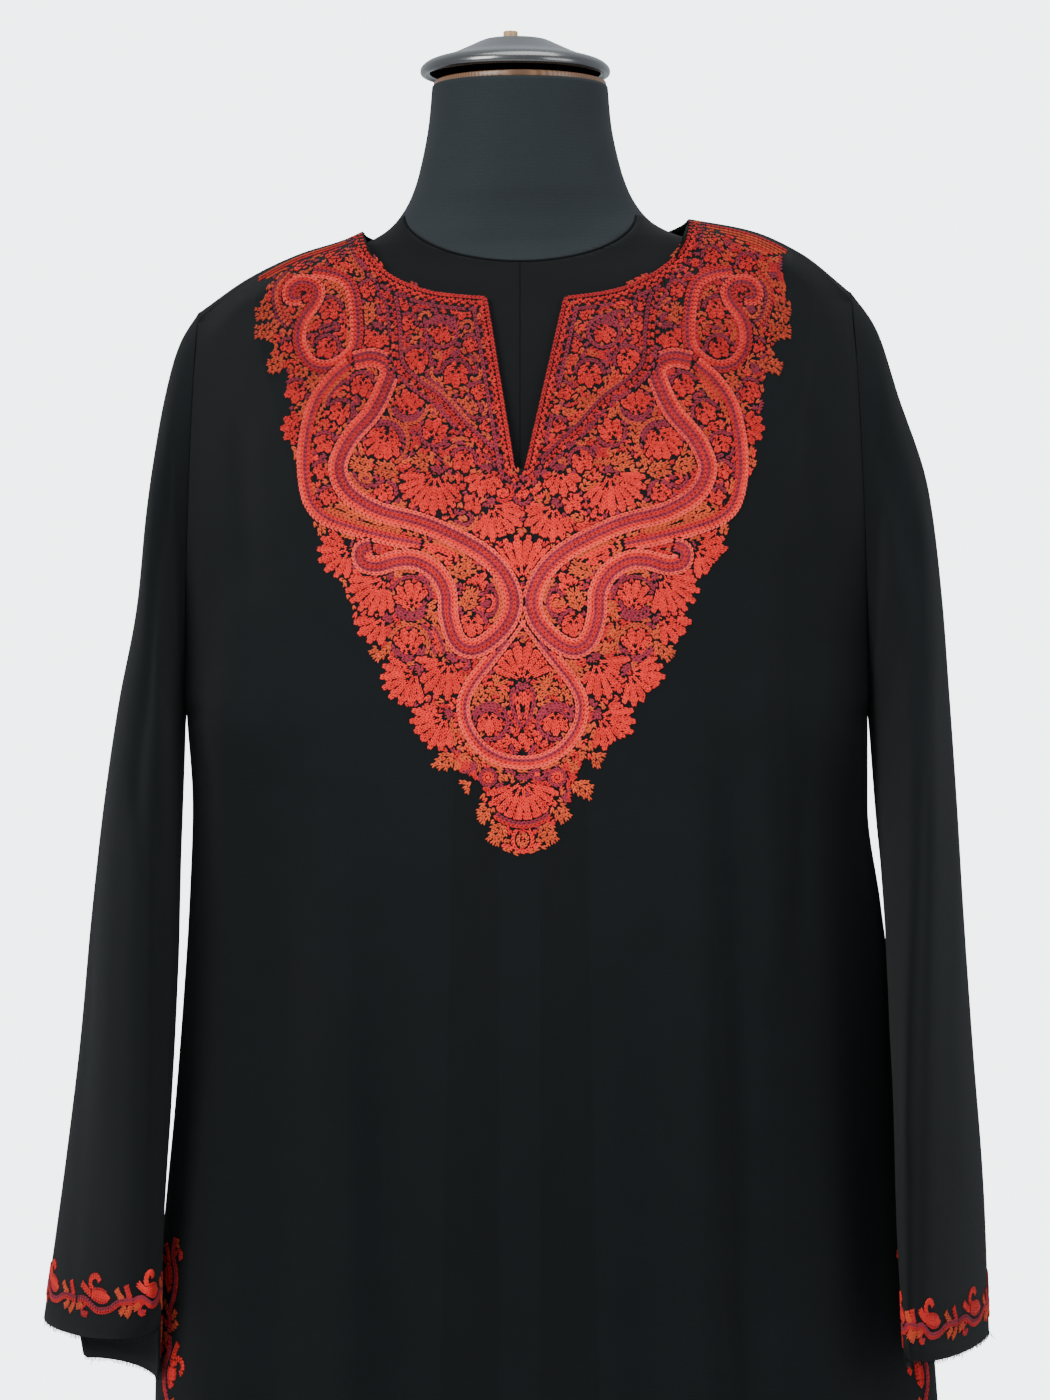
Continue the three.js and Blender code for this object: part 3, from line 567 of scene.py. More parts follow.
def jersey_finish():
    """Tight ribbed jersey, nearly black on the chest and slate on the neck."""
    made, tree, shader = material(
        "ribbed_jersey", 0.8, sheen_weight=0.04, sheen_roughness=0.5, specular_ior_level=0.12,
    )
    place = placed(tree)
    parts = add_node(tree, "ShaderNodeSeparateXYZ", {0: place})
    rib_height = 0.0022
    ribs = maths(tree, "SINE", maths(tree, "MULTIPLY", parts.outputs["Z"], 2 * math.pi / rib_height))
    yarn = noise_at(tree, place, 700.0, 3.0)
    worn = noise_at(tree, place, 14.0, 4.0)
    share = weighted(tree, worn, 0.6, yarn, 0.4)
    share = maths(tree, "ADD", share, maths(tree, "MULTIPLY", ribs, 0.01))
    chest = colours_between(tree, share, (0.0014, 0.0017, 0.0020), (0.0036, 0.0044, 0.0050))
    neck = colours_between(tree, share, (0.013, 0.0165, 0.0185), (0.026, 0.033, 0.037))
    mask = add_node(tree, "ShaderNodeAttribute", attribute_name="neck_part").outputs["Fac"]
    tree.links.new(colours_between(tree, mask, chest, neck), shader.inputs["Base Color"])
    bump(tree, shader, maths(tree, "ADD", maths(tree, "MULTIPLY", ribs, 0.15), yarn), 0.00008)
    return made


def seam_finish():
    made, tree, shader = material("seam_thread", 0.8, specular_ior_level=0.1)
    speck = noise_at(tree, placed(tree), 900.0)
    colour = colours_between(tree, speck, (0.0015, 0.0018, 0.002), (0.004, 0.0048, 0.0055))
    tree.links.new(colour, shader.inputs["Base Color"])
    return made


def wood_finish(name, roughness, rings, dark, light, relief, **plain):
    """Wood with so many rings a metre, between a dark and a light colour."""
    made, tree, shader = material(name, roughness, **plain)
    grain = add_node(tree, "ShaderNodeGroup", {
        "Place": placed(tree), "Rings per metre": rings, "Dark": (*dark, 1), "Light": (*light, 1),
    }, node_tree=WOOD)
    tree.links.new(grain.outputs["Colour"], shader.inputs["Base Color"])
    bump(tree, shader, grain.outputs["Height"], relief)
    return made


def scuffed_finish(name, roughness, clean, scuffed, clouds, dark, light, relief, **plain):
    """A hard black coat: its roughness clean and scuffed, and small clouds between two colours."""
    made, tree, shader = material(name, roughness, **plain)
    worn = add_node(tree, "ShaderNodeGroup", {
        "Place": placed(tree), "Clean": clean, "Scuffed": scuffed,
    }, node_tree=SCUFFS)
    tree.links.new(worn.outputs["Roughness"], shader.inputs["Roughness"])
    colour = colours_between(tree, noise_at(tree, placed(tree), clouds), dark, light)
    tree.links.new(colour, shader.inputs["Base Color"])
    bump(tree, shader, worn.outputs["Height"], relief)
    return made, tree, shader


def lacquer_finish():
    """Black gloss for the cap, with a dull underside inside its rim."""
    made, tree, shader = scuffed_finish(
        "black_lacquer", 0.3, 0.24, 0.42, 50.0, (0.006, 0.0065, 0.007), (0.013, 0.014, 0.015), 0.00003,
        coat_roughness=0.2, coat_ior=1.9,
    )
    rim_wide, rim_high = 6, 5.6
    parts = add_node(tree, "ShaderNodeSeparateXYZ", {0: placed(tree)})
    aside = maths(tree, "ADD", parts.outputs["X"], -CAP["x"] * MM)
    flat = add_node(tree, "ShaderNodeCombineXYZ", {0: aside, 1: parts.outputs["Y"]})
    away = add_node(tree, "ShaderNodeVectorMath", {0: flat.outputs[0]}, operation="LENGTH").outputs["Value"]
    within = maths(tree, "LESS_THAN", away, (CAP["radius"] - rim_wide) * MM)
    below = maths(tree, "LESS_THAN", parts.outputs["Z"], (CAP["rim_z"] + rim_high) * MM)
    shown = maths(tree, "SUBTRACT", 1.0, maths(tree, "MULTIPLY", within, below))
    tree.links.new(shown, shader.inputs["Coat Weight"])
    tree.links.new(maths(tree, "MULTIPLY", shown, 0.6), shader.inputs["Specular IOR Level"])
    return made


# Camera: level, in front of the garment, with its place and the height of its frame in metres

CAMERA_AWAY = 2.6
CAMERA_X = 0.0032
CAMERA_Z = 1.063
FRAME_HEIGHT = 0.8917


def add_camera():
    lens = bpy.data.cameras.new("camera")
    lens.sensor_fit = "VERTICAL"
    lens.sensor_height = 24
    lens.sensor_width = 18
    lens.lens = lens.sensor_height * CAMERA_AWAY / FRAME_HEIGHT
    made = new_object("camera", lens)
    made.location = (CAMERA_X, -CAMERA_AWAY, CAMERA_Z)
    made.rotation_euler = (math.pi / 2, 0, 0)
    bpy.context.scene.camera = made


# The dress form and its stand

POLE_RADIUS = 12.5
BASE = {"radius": 190, "thick": 12, "bevel": 3}
SOCKET = {"radius": 24, "top": 46}
PLATE = {"radius": 55, "thick": 4}
CAP = {"radius": 60.5, "x": -3, "rim_z": 1460, "top_z": 1483, "boss": 30}
PEG = {"radius": 4.6, "height": 5.5, "x": -6}
NECK_SEAM = {"half": 73, "side_z": 1369, "drop_front": 32.5, "drop_back": 5}
# A quarter turn in twelve steps, for eased edges
EASED = np.linspace(0, 1.57, 13)


def neck_seam_level(x, in_front):
    """Level of the seam round the foot of the neck, an ellipse in the front view."""
    drop = np.where(in_front, NECK_SEAM["drop_front"], NECK_SEAM["drop_back"])
    return NECK_SEAM["side_z"] - drop * np.sqrt(np.maximum(1 - (x / NECK_SEAM["half"]) ** 2, 0))


def torso_piece():
    """The form's body and neck, with rounded rims at its two ends."""
    rounds = 120
    angles = 2 * np.pi * np.arange(rounds) / rounds
    levels = np.concatenate([
        np.linspace(NECK_TOP_Z, 1400, 24), np.linspace(1397, 1330, 46), np.linspace(1326, 1000, 60),
        np.linspace(994, FORM_BOTTOM_Z, 50),
    ])
    grid = np.stack([form_point(np.full(rounds, z), angles) for z in levels], axis=1)
    rings = [grid]
    for z, end in ((NECK_TOP_Z, 0), (FORM_BOTTOM_Z, -1)):
        ring = grid[:, end]
        inner = np.stack([ring * (share, share, 1) for share in (0.985, 0.8, 0.4, 0.001)], axis=1)
        inner[..., 2] = z
        rings = [inner[:, ::-1], *rings] if end == 0 else [*rings, inner]
    made = grid_object("dress_form_body", np.concatenate(rings, axis=1), outward=False, closed=True)
    apply_modifiers(made)
    mesh = made.data
    spots = np.empty(len(mesh.vertices) * 3)
    mesh.vertices.foreach_get("co", spots)
    spots = spots.reshape(-1, 3) / MM
    above = spots[:, 2] - neck_seam_level(spots[:, 0], spots[:, 1] < 0)
    mask = mesh.attributes.new("neck_part", "FLOAT", "POINT")
    mask.data.foreach_set("value", np.clip(above / 2 + 0.5, 0, 1))
    return made


def cord_along(name, path, radius, closed=False):
    """A thin round thread along a path in millimetres."""
    curve = bpy.data.curves.new(name, "CURVE")
    curve.dimensions = "3D"
    curve.bevel_depth = radius * MM
    curve.bevel_resolution = 2
    line = curve.splines.new("POLY")
    line.points.add(len(path) - 1)
    line.points.foreach_set("co", np.column_stack([np.asarray(path) * MM, np.ones(len(path))]).ravel())
    line.use_cyclic_u = closed
    made = new_object(name, curve)
    depsgraph = bpy.context.evaluated_depsgraph_get()
    mesh = bpy.data.meshes.new_from_object(made.evaluated_get(depsgraph), depsgraph=depsgraph)
    bpy.data.objects.remove(made)
    mesh.polygons.foreach_set("use_smooth", np.ones(len(mesh.polygons), dtype=bool))
    return new_object(name, mesh)


def neck_seams():
    """The seam round the foot of the neck, and the one down the middle of the chest."""
    turns = 2 * np.pi * np.arange(160) / 160
    x = NECK_SEAM["half"] * np.cos(turns)
    z = neck_seam_level(x, np.sin(turns) < 0)
    level = z - lean_at(x, z)
    across = np.minimum(np.abs(x) / read(FORM, "half", level), 1)
    depth = np.where(np.sin(turns) < 0, -read(FORM, "front", level), read(FORM, "back", level))
    ring = np.stack([x, depth * (1 - across ** FORM_ROUNDNESS) ** (1 / FORM_ROUNDNESS), z], axis=1)
    levels = np.linspace(NECK_SEAM["side_z"] - NECK_SEAM["drop_front"] - 1, 1150, 60)
    down = np.stack([form_point(z, -math.pi / 2) for z in levels])
    down[:, 1] += 0.25
    return [cord_along("neck_seam_thread", ring, 0.75, True), cord_along("front_seam_thread", down, 0.55)]


def cap_piece():
    """The cap: a boss on the plate, a thick round rim and a low dome with a flat top."""
    radius, rim, top, boss = (CAP[name] for name in ("radius", "rim_z", "top_z", "boss"))
    boss_z = NECK_TOP_Z + SEAM_GAP + PLATE["thick"] + SEAM_GAP
    dome = round_outline([
        (boss + 1, rim + 4.8), (radius - 7, rim + 2), (radius - 3.5, rim), (radius - 0.8, rim + 0.8),
        (radius, rim + 3), (radius - 1.2, rim + 6), (radius - 6, rim + 9.2), (radius * 0.7, top - 10),
        (radius * 0.48, top - 4), (radius * 0.37, top - 0.9), (radius * 0.3, top - 0.1), (0.01, top),
    ])
    outline = [(0.01, boss_z), (boss - 0.5, boss_z), (boss, boss_z + 0.5), (boss, rim + 4.9)]
    return turned_piece("neck_cap_dome", outline + dome.tolist(), 120, (CAP["x"], 0))


def disc_outline(radius, low, high, edge):
    """Outline of a disc whose two edges are eased."""
    lower = [(radius - edge * (1 - math.sin(t)), low + edge * (1 - math.cos(t))) for t in EASED[::3]]
    upper = [(radius - edge * (1 - math.cos(t)), high - edge * (1 - math.sin(t))) for t in EASED[::3]]
    return [(0.01, low), (radius * 0.6, low), *lower, *upper, (radius * 0.6, high), (0.01, high)]


def plate_piece():
    low = NECK_TOP_Z + SEAM_GAP
    outline = disc_outline(PLATE["radius"], low, low + PLATE["thick"], 0.8)
    return turned_piece("neck_plate_disc", outline, 120)


def peg_piece():
    low = CAP["top_z"] + SEAM_GAP
    outline = disc_outline(PEG["radius"], low, low + PEG["height"], 0.5)
    return turned_piece("cap_peg_stub", outline, 32, (PEG["x"], 0))


def stand_pieces():
    """The pole, and the round base with the socket that holds it."""
    low = BASE["thick"] - 4 + SEAM_GAP
    pole = turned_piece("stand_pole", disc_outline(POLE_RADIUS, low, FORM_BOTTOM_Z - SEAM_GAP, 0.5), 64)
    shaft = POLE_RADIUS + SEAM_GAP
    radius, thick, edge = BASE["radius"], BASE["thick"], BASE["bevel"]
    rim = [(radius - edge * (1 - math.cos(t)), thick - edge * (1 - math.sin(t))) for t in EASED[::2]]
    hub, top = SOCKET["radius"], SOCKET["top"]
    outline = [
        (0.01, 0), (radius - 1, 0), (radius, 0.8), *rim, (hub + 6, thick + 0.6), (hub + 2.5, thick + 2),
        (hub + 0.4, thick + 5), (hub - 4.6, 42), (hub - 6, top - 0.6), (hub - 7.5, top),
        (shaft + 0.6, top), (shaft, top - 0.8), (shaft, thick - 4), (0.01, thick - 4),
    ]
    return pole, turned_piece("stand_base", outline, 128)


# The four cloth pieces

UPPER_STEPS = 98
UPPER_POWER = 1.53
LOWER_STEPS = 118
SLIT_STEPS = 56
SIDE_CELLS, SHOULDER_CELLS, NECK_CELLS = 34, 12, 20
BACK_POWER = 1.6
BACK_CELLS = 42


def front_column(side, block, share):
    """Points of one column of the front panel, from its top edge to the hem."""
    neck = FRONT_NECKS[side]
    hole = ARMHOLES[side]
    hand = "right" if side < 0 else "left"
    yoke_top = read(YOKE, hand, YOKE_TOP_Z)
    neck_x = neck["x"][0]
    if block == "side":
        top_x = mix(hole["tip_x"], yoke_top + STEP_WIDTH, bend(share))
    elif block == "shoulder":
        top_x = mix(yoke_top, neck_x, share)
    else:
        top_x = read(neck, "x", share, "share")
    seam = block != "neck" or share == 0
    top_z = float(seam_z(side * top_x)) if seam else float(read(neck, "z", share, "share"))
    fall = (np.arange(UPPER_STEPS + 1) / UPPER_STEPS) ** UPPER_POWER
    low = np.linspace(hole["pit_z"], HEM_Z, LOWER_STEPS + 1)[1:]
    z = np.concatenate([mix(top_z, hole["pit_z"], fall), low])
    fall = np.concatenate([fall, np.ones(LOWER_STEPS)])
    spread = np.where(z < CHEST_Z, mix(1, HEM_SPREAD, (CHEST_Z - z) / (CHEST_Z - HEM_Z)), 1)
    yoke_foot, neck_foot, pit_yoke = 40, 46, 70
    yoke_x = np.maximum(read(YOKE, hand, np.maximum(z, YOKE_TIP_Z)), yoke_foot) * spread
    if block == "side":
        x = mix(edge_x(side, z), yoke_x + STEP_WIDTH, bend(share))
    else:
        below = np.where(z < hole["pit_z"], yoke_x / pit_yoke, 1)
        under_neck = mix(neck_x, neck_foot, fall ** 0.8) * below
        corner = neck["x"][-1]
        slit_x = mix(corner, SLIT_HALF, np.clip(fall / SLIT_REACH, 0, 1))
        slit_x = slit_x + 10 * smooth((fall - SLIT_REACH) / (1 - SLIT_REACH))
        top_share = (neck_x - top_x) / (neck_x - corner)
        place = mix(top_share, share, np.clip(fall * 2, 0, 1))
        x = mix(yoke_x, under_neck, share) if block == "shoulder" else mix(under_neck, slit_x, place)
    settle = smooth(fall * 6) if seam else 1
    points = front_point(side * mix(top_x, x, settle), z)
    if seam:
        points[0] = (side * top_x, SHOULDER_SEAM_Y - SEAM_GAP / 2, top_z)
    return points


def front_grid():
    halves = {}
    for side in (-1, 1):
        blocks = [("side", i / SIDE_CELLS) for i in range(SIDE_CELLS + 1)]
        blocks += [("shoulder", i / SHOULDER_CELLS) for i in range(SHOULDER_CELLS + 1)]
        blocks += [("neck", i / NECK_CELLS) for i in range(1, NECK_CELLS + 1)]
        halves[side] = [front_column(side, block, share) for block, share in blocks]
    return np.stack(halves[-1] + halves[1][::-1])


def front_piece():
    grid = front_grid()
    middle = len(grid) // 2 - 1
    return cloth_piece("tunic_front", grid, True, keeps=lambda i, j: (i != middle) | (j >= SLIT_STEPS))


def back_column(side, block, share):
    """Points of one column of the back panel, over the shoulder's ridge and down to the hem."""
    neck_x = FRONT_NECKS[side]["x"][0]
    hole = ARMHOLES[side]
    if block == "shoulder":
        top_x = side * mix(hole["tip_x"], neck_x, bend(share))
        top_z, edge_y = float(seam_z(top_x)), SHOULDER_SEAM_Y + SEAM_GAP / 2
        ridge, ridge_y = float(ridge_z(top_x)), 0
    else:
        top_x = side * neck_x * read(BACK_NECK, "share", share, "place")
        level = mix(ridge_z(-neck_x), ridge_z(neck_x), 0.5 + 0.5 * top_x / neck_x)
        top_z = float(level - read(BACK_NECK, "drop", share, "place"))
        edge_y = float(read(BACK_NECK, "y", share, "place")) + SEAM_GAP / 2
        ridge = top_z - 1.5
        ridge_y = max(edge_y + 1.35, float(cloth_depth(top_x, ridge, "back")))
    over = np.linspace(0, 1, 5)
    rise = np.sin(over * np.pi / 2)
    first = np.stack([np.full(5, top_x), mix(edge_y, ridge_y, over), mix(top_z, ridge, rise)], axis=1)
    fall = (np.arange(1, UPPER_STEPS + 1) / UPPER_STEPS) ** BACK_POWER
    low = np.linspace(hole["pit_z"], HEM_Z, LOWER_STEPS + 1)[1:]
    z = np.concatenate([mix(ridge, hole["pit_z"], fall), low])
    fall = np.concatenate([fall, np.ones(LOWER_STEPS)])
    wide = edge_x(side, z) / hole["tip_x"]
    return np.concatenate([first, back_point(top_x * mix(1, wide, smooth(fall * 3)), z)])


def back_piece():
    halves = {}
    for side in (-1, 1):
        blocks = [("shoulder", i / BACK_CELLS) for i in range(BACK_CELLS + 1)]
        blocks += [("neck", i / NECK_CELLS) for i in range(1, NECK_CELLS + 1)]
        halves[side] = [back_column(side, block, share) for block, share in blocks]
    return cloth_piece("tunic_back", np.stack(halves[-1] + halves[1][-2::-1]), False)


def sleeve_point(side, s, degrees):
    """Points on a sleeve's outer face: the row of its table, and the place round it (0 outside, 90 front)."""
    table = SLEEVES[side]
    s, angle = np.broadcast_arrays(np.asarray(s, dtype=float), np.radians(degrees))
    names = ("out_x", "in_x", "out_z", "in_z", "turn", "depth", "y")
    out_x, in_x, out_z, in_z, turn, depth, y_middle = (read(table, name, s, "s") for name in names)
    half_x = (out_x - in_x) / 2
    spread = np.sign(half_x) * np.sqrt(np.maximum(half_x ** 2 - turn ** 2, 0))
    bulge = 1.0
    for place, start, end, half, height in SLEEVE_FOLDS[side]:
        away = (np.degrees(angle) - place + 540) % 360 - 180
        fade = smooth((s - start) * 1.2) * smooth((end - s) * 1.2)
        bulge = bulge + height / 60 * fade * np.exp(-((away / half) ** 2))
    lower = CUFF_SLOPE[side] * depth * smooth((s - 7) / 3)
    front, outward = np.sin(angle) * bulge, np.cos(angle) * bulge
    x = (out_x + in_x) / 2 + spread * outward - turn * front
    y = y_middle - depth * front
    facing = (spread * np.sin(angle) + turn * np.cos(angle)) / half_x
    sideways = (spread * np.cos(angle) - turn * np.sin(angle)) / half_x
    behind = smooth(-facing * 3) * smooth((0.62 - sideways) * 4)
    level = mix((out_z - in_z) / 2 * outward, 0, smooth((s - 7) / 3))
    z = (out_z + in_z) / 2 + level + lower * (0.35 - 0.35 * outward - CUFF_FALL[side] * behind)
    return np.stack([side * (x + SEAM_GAP), y, z], axis=-1)


def sleeve_piece(side):
    rounds, rings = 84, 118
    degrees = 360 * np.arange(rounds) / rounds
    s = 10 * (np.arange(rings + 1) / rings) ** 1.15
    grid = sleeve_point(side, s[None, :], degrees[:, None])
    return cloth_piece("sleeve_on_the_" + ("right" if side < 0 else "left"), grid, side < 0, closed=True)


# Chain stitch: rows of loops that lie on the cloth, with lengths in millimetres

STITCH = {"length": 3.0, "width": 2.3, "height": 1.2, "lift": 0.3}
FINE = 2.2
CLEARANCE = 1.5
PETAL_GAP = 1.6
PETAL_CLEARANCE = 0.95
CELL = 0.5
EDGE_ROOM = -3.5
RIBBON_GAP = 2.0
SPRIG_SIZE = 15.0
SPRIG_ROOM = -6.0
ZIGZAG_PITCH = 5.2
# Each yarn's dark and light colour; a stitch's shade picks between them, which is random tone and, on the
# yoke, also painted light and shade.
YARNS = {
    "coral": ((0.30, 0.003, 0.004), (0.88, 0.030, 0.019)),
    "crimson": ((0.22, 0.003, 0.005), (0.66, 0.015, 0.014)),
    "rust": ((0.26, 0.016, 0.006), (0.70, 0.085, 0.022)),
    "plum": ((0.11, 0.004, 0.015), (0.36, 0.024, 0.048)),
    "rose": ((0.46, 0.020, 0.017), (0.93, 0.080, 0.055)),
}


def stitch_tree():
    """Sets one chain-stitch loop, of two splayed strands, on every point along its row."""
    tree = bpy.data.node_groups.new("chain stitch", "GeometryNodeTree")
    face = tree.interface
    face.new_socket("Points", in_out="INPUT", socket_type="NodeSocketGeometry")
    sizes = {"Stitch " + name.title(): STITCH[name] for name in ("length", "width", "height")}
    for label, value in {**sizes, "Splay": 0.24}.items():
        face.new_socket(label, in_out="INPUT", socket_type="NodeSocketFloat").default_value = value
    face.new_socket("Seed", in_out="INPUT", socket_type="NodeSocketInt").default_value = 7
    face.new_socket("Yarn", in_out="INPUT", socket_type="NodeSocketMaterial")
    face.new_socket("Stitches", in_out="OUTPUT", socket_type="NodeSocketGeometry")
    given = tree.nodes.new("NodeGroupInput").outputs
    ball = add_node(tree, "GeometryNodeMeshUVSphere", {"Segments": 6, "Rings": 3, "Radius": 0.5 * MM})
    size = add_node(tree, "ShaderNodeCombineXYZ", {
        0: given["Stitch Height"], 1: maths(tree, "MULTIPLY", given["Stitch Width"], 0.62),
        2: maths(tree, "MULTIPLY", given["Stitch Length"], 1.34),
    })
    lying = add_node(tree, "GeometryNodeTransform", {
        "Geometry": ball.outputs["Mesh"], "Rotation": (0, math.pi / 2, 0), "Scale": size.outputs[0],
    })
    loop = tree.nodes.new("GeometryNodeJoinGeometry")
    for hand in (-1, 1):
        shift = maths(tree, "MULTIPLY", given["Stitch Width"], 0.25 * hand * MM)
        turn = maths(tree, "MULTIPLY", given["Splay"], float(hand))
        strand = add_node(tree, "GeometryNodeTransform", {
            "Geometry": lying.outputs[0],
            "Translation": add_node(tree, "ShaderNodeCombineXYZ", {1: shift}).outputs[0],
            "Rotation": add_node(tree, "ShaderNodeCombineXYZ", {2: turn}).outputs[0],
        })
        tree.links.new(strand.outputs[0], loop.inputs[0])
    along = add_node(tree, "GeometryNodeInputNamedAttribute", {"Name": "along"}, data_type="FLOAT_VECTOR")
    up = add_node(tree, "GeometryNodeInputNamedAttribute", {"Name": "up"}, data_type="FLOAT_VECTOR")
    turn = add_node(tree, "FunctionNodeAxesToRotation", {
        "Primary Axis": along.outputs[0], "Secondary Axis": up.outputs[0],
    }, primary_axis="X", secondary_axis="Z")
    fit = add_node(tree, "GeometryNodeInputNamedAttribute", {"Name": "fit"}, data_type="FLOAT_VECTOR")
    grown = add_node(tree, "FunctionNodeRandomValue", {2: 0.92, 3: 1.12, "Seed": given["Seed"]})
    fitted = add_node(tree, "ShaderNodeVectorMath", {
        0: fit.outputs[0], "Scale": grown.outputs[1],
    }, operation="SCALE")
    placed_loops = add_node(tree, "GeometryNodeInstanceOnPoints", {
        "Points": given["Points"], "Instance": loop.outputs[0], "Rotation": turn.outputs[0],
        "Scale": fitted.outputs[0],
    })
    real = add_node(tree, "GeometryNodeRealizeInstances", {0: placed_loops.outputs[0]})
    soft = add_node(tree, "GeometryNodeSetShadeSmooth", {"Geometry": real.outputs[0]})
    dyed = add_node(tree, "GeometryNodeSetMaterial", {"Geometry": soft.outputs[0], "Material": given["Yarn"]})
    out = tree.nodes.new("NodeGroupOutput")
    tree.links.new(dyed.outputs[0], out.inputs[0])
    return tree


def stitched_piece(name, tree, yarn, stitches):
    """One mesh of all loops of a yarn, from parts that hold places, ways along and up, shades and sizes."""
    spots = np.concatenate([s[0] for s in stitches]) * MM
    mesh = bpy.data.meshes.new(name)
    mesh.from_pydata(spots.tolist(), [], [])
    for label, column in (("along", 1), ("up", 2), ("fit", 4)):
        values = np.concatenate([s[column] for s in stitches])
        mesh.attributes.new(label, "FLOAT_VECTOR", "POINT").data.foreach_set("vector", values.ravel())
    # The shade holds random tone and, on the yoke, painted light and shade.
    shade = np.concatenate([s[3] for s in stitches])
    mesh.attributes.new("shade", "FLOAT", "POINT").data.foreach_set("value", shade)
    made = new_object(name, mesh)
    setter = made.modifiers.new("stitches", "NODES")
    setter.node_group = tree
    for item in tree.interface.items_tree:
        if item.item_type == "SOCKET" and item.in_out == "INPUT" and item.name == "Yarn":
            setter[item.identifier] = yarn
    return apply_modifiers(made)


def resample(path, step):
    """Points at even steps along a path."""
    path = np.asarray(path, dtype=float)
    run = np.concatenate([[0], np.cumsum(np.hypot(*np.diff(path, axis=0).T))])
    count = max(int(round(run[-1] / step)), 1)
    places = np.linspace(0, run[-1], count + 1)
    return np.stack([np.interp(places, run, path[:, 0]), np.interp(places, run, path[:, 1])], axis=1)


def soft_curve(points):
    """A smooth curve through a few points, at steps of half a millimetre."""
    return resample(round_outline(points, 10), CELL)


def beside(path, distance):
    """A path moved sideways, to the left of its way for a distance above 0."""
    step = np.gradient(np.asarray(path, dtype=float), axis=0)
    step /= np.maximum(np.hypot(step[:, 0], step[:, 1]), 1e-6)[:, None]
    return path + distance * np.stack([-step[:, 1], step[:, 0]], axis=1)


def circle(x, z, radius, start=0.0, end=360.0):
    turns = np.radians(np.arange(start, end + 1, min(360 / max(radius, 1) / 6, 30)))
    return resample(np.stack([x + radius * np.cos(turns), z + radius * np.sin(turns)], axis=1), CELL)


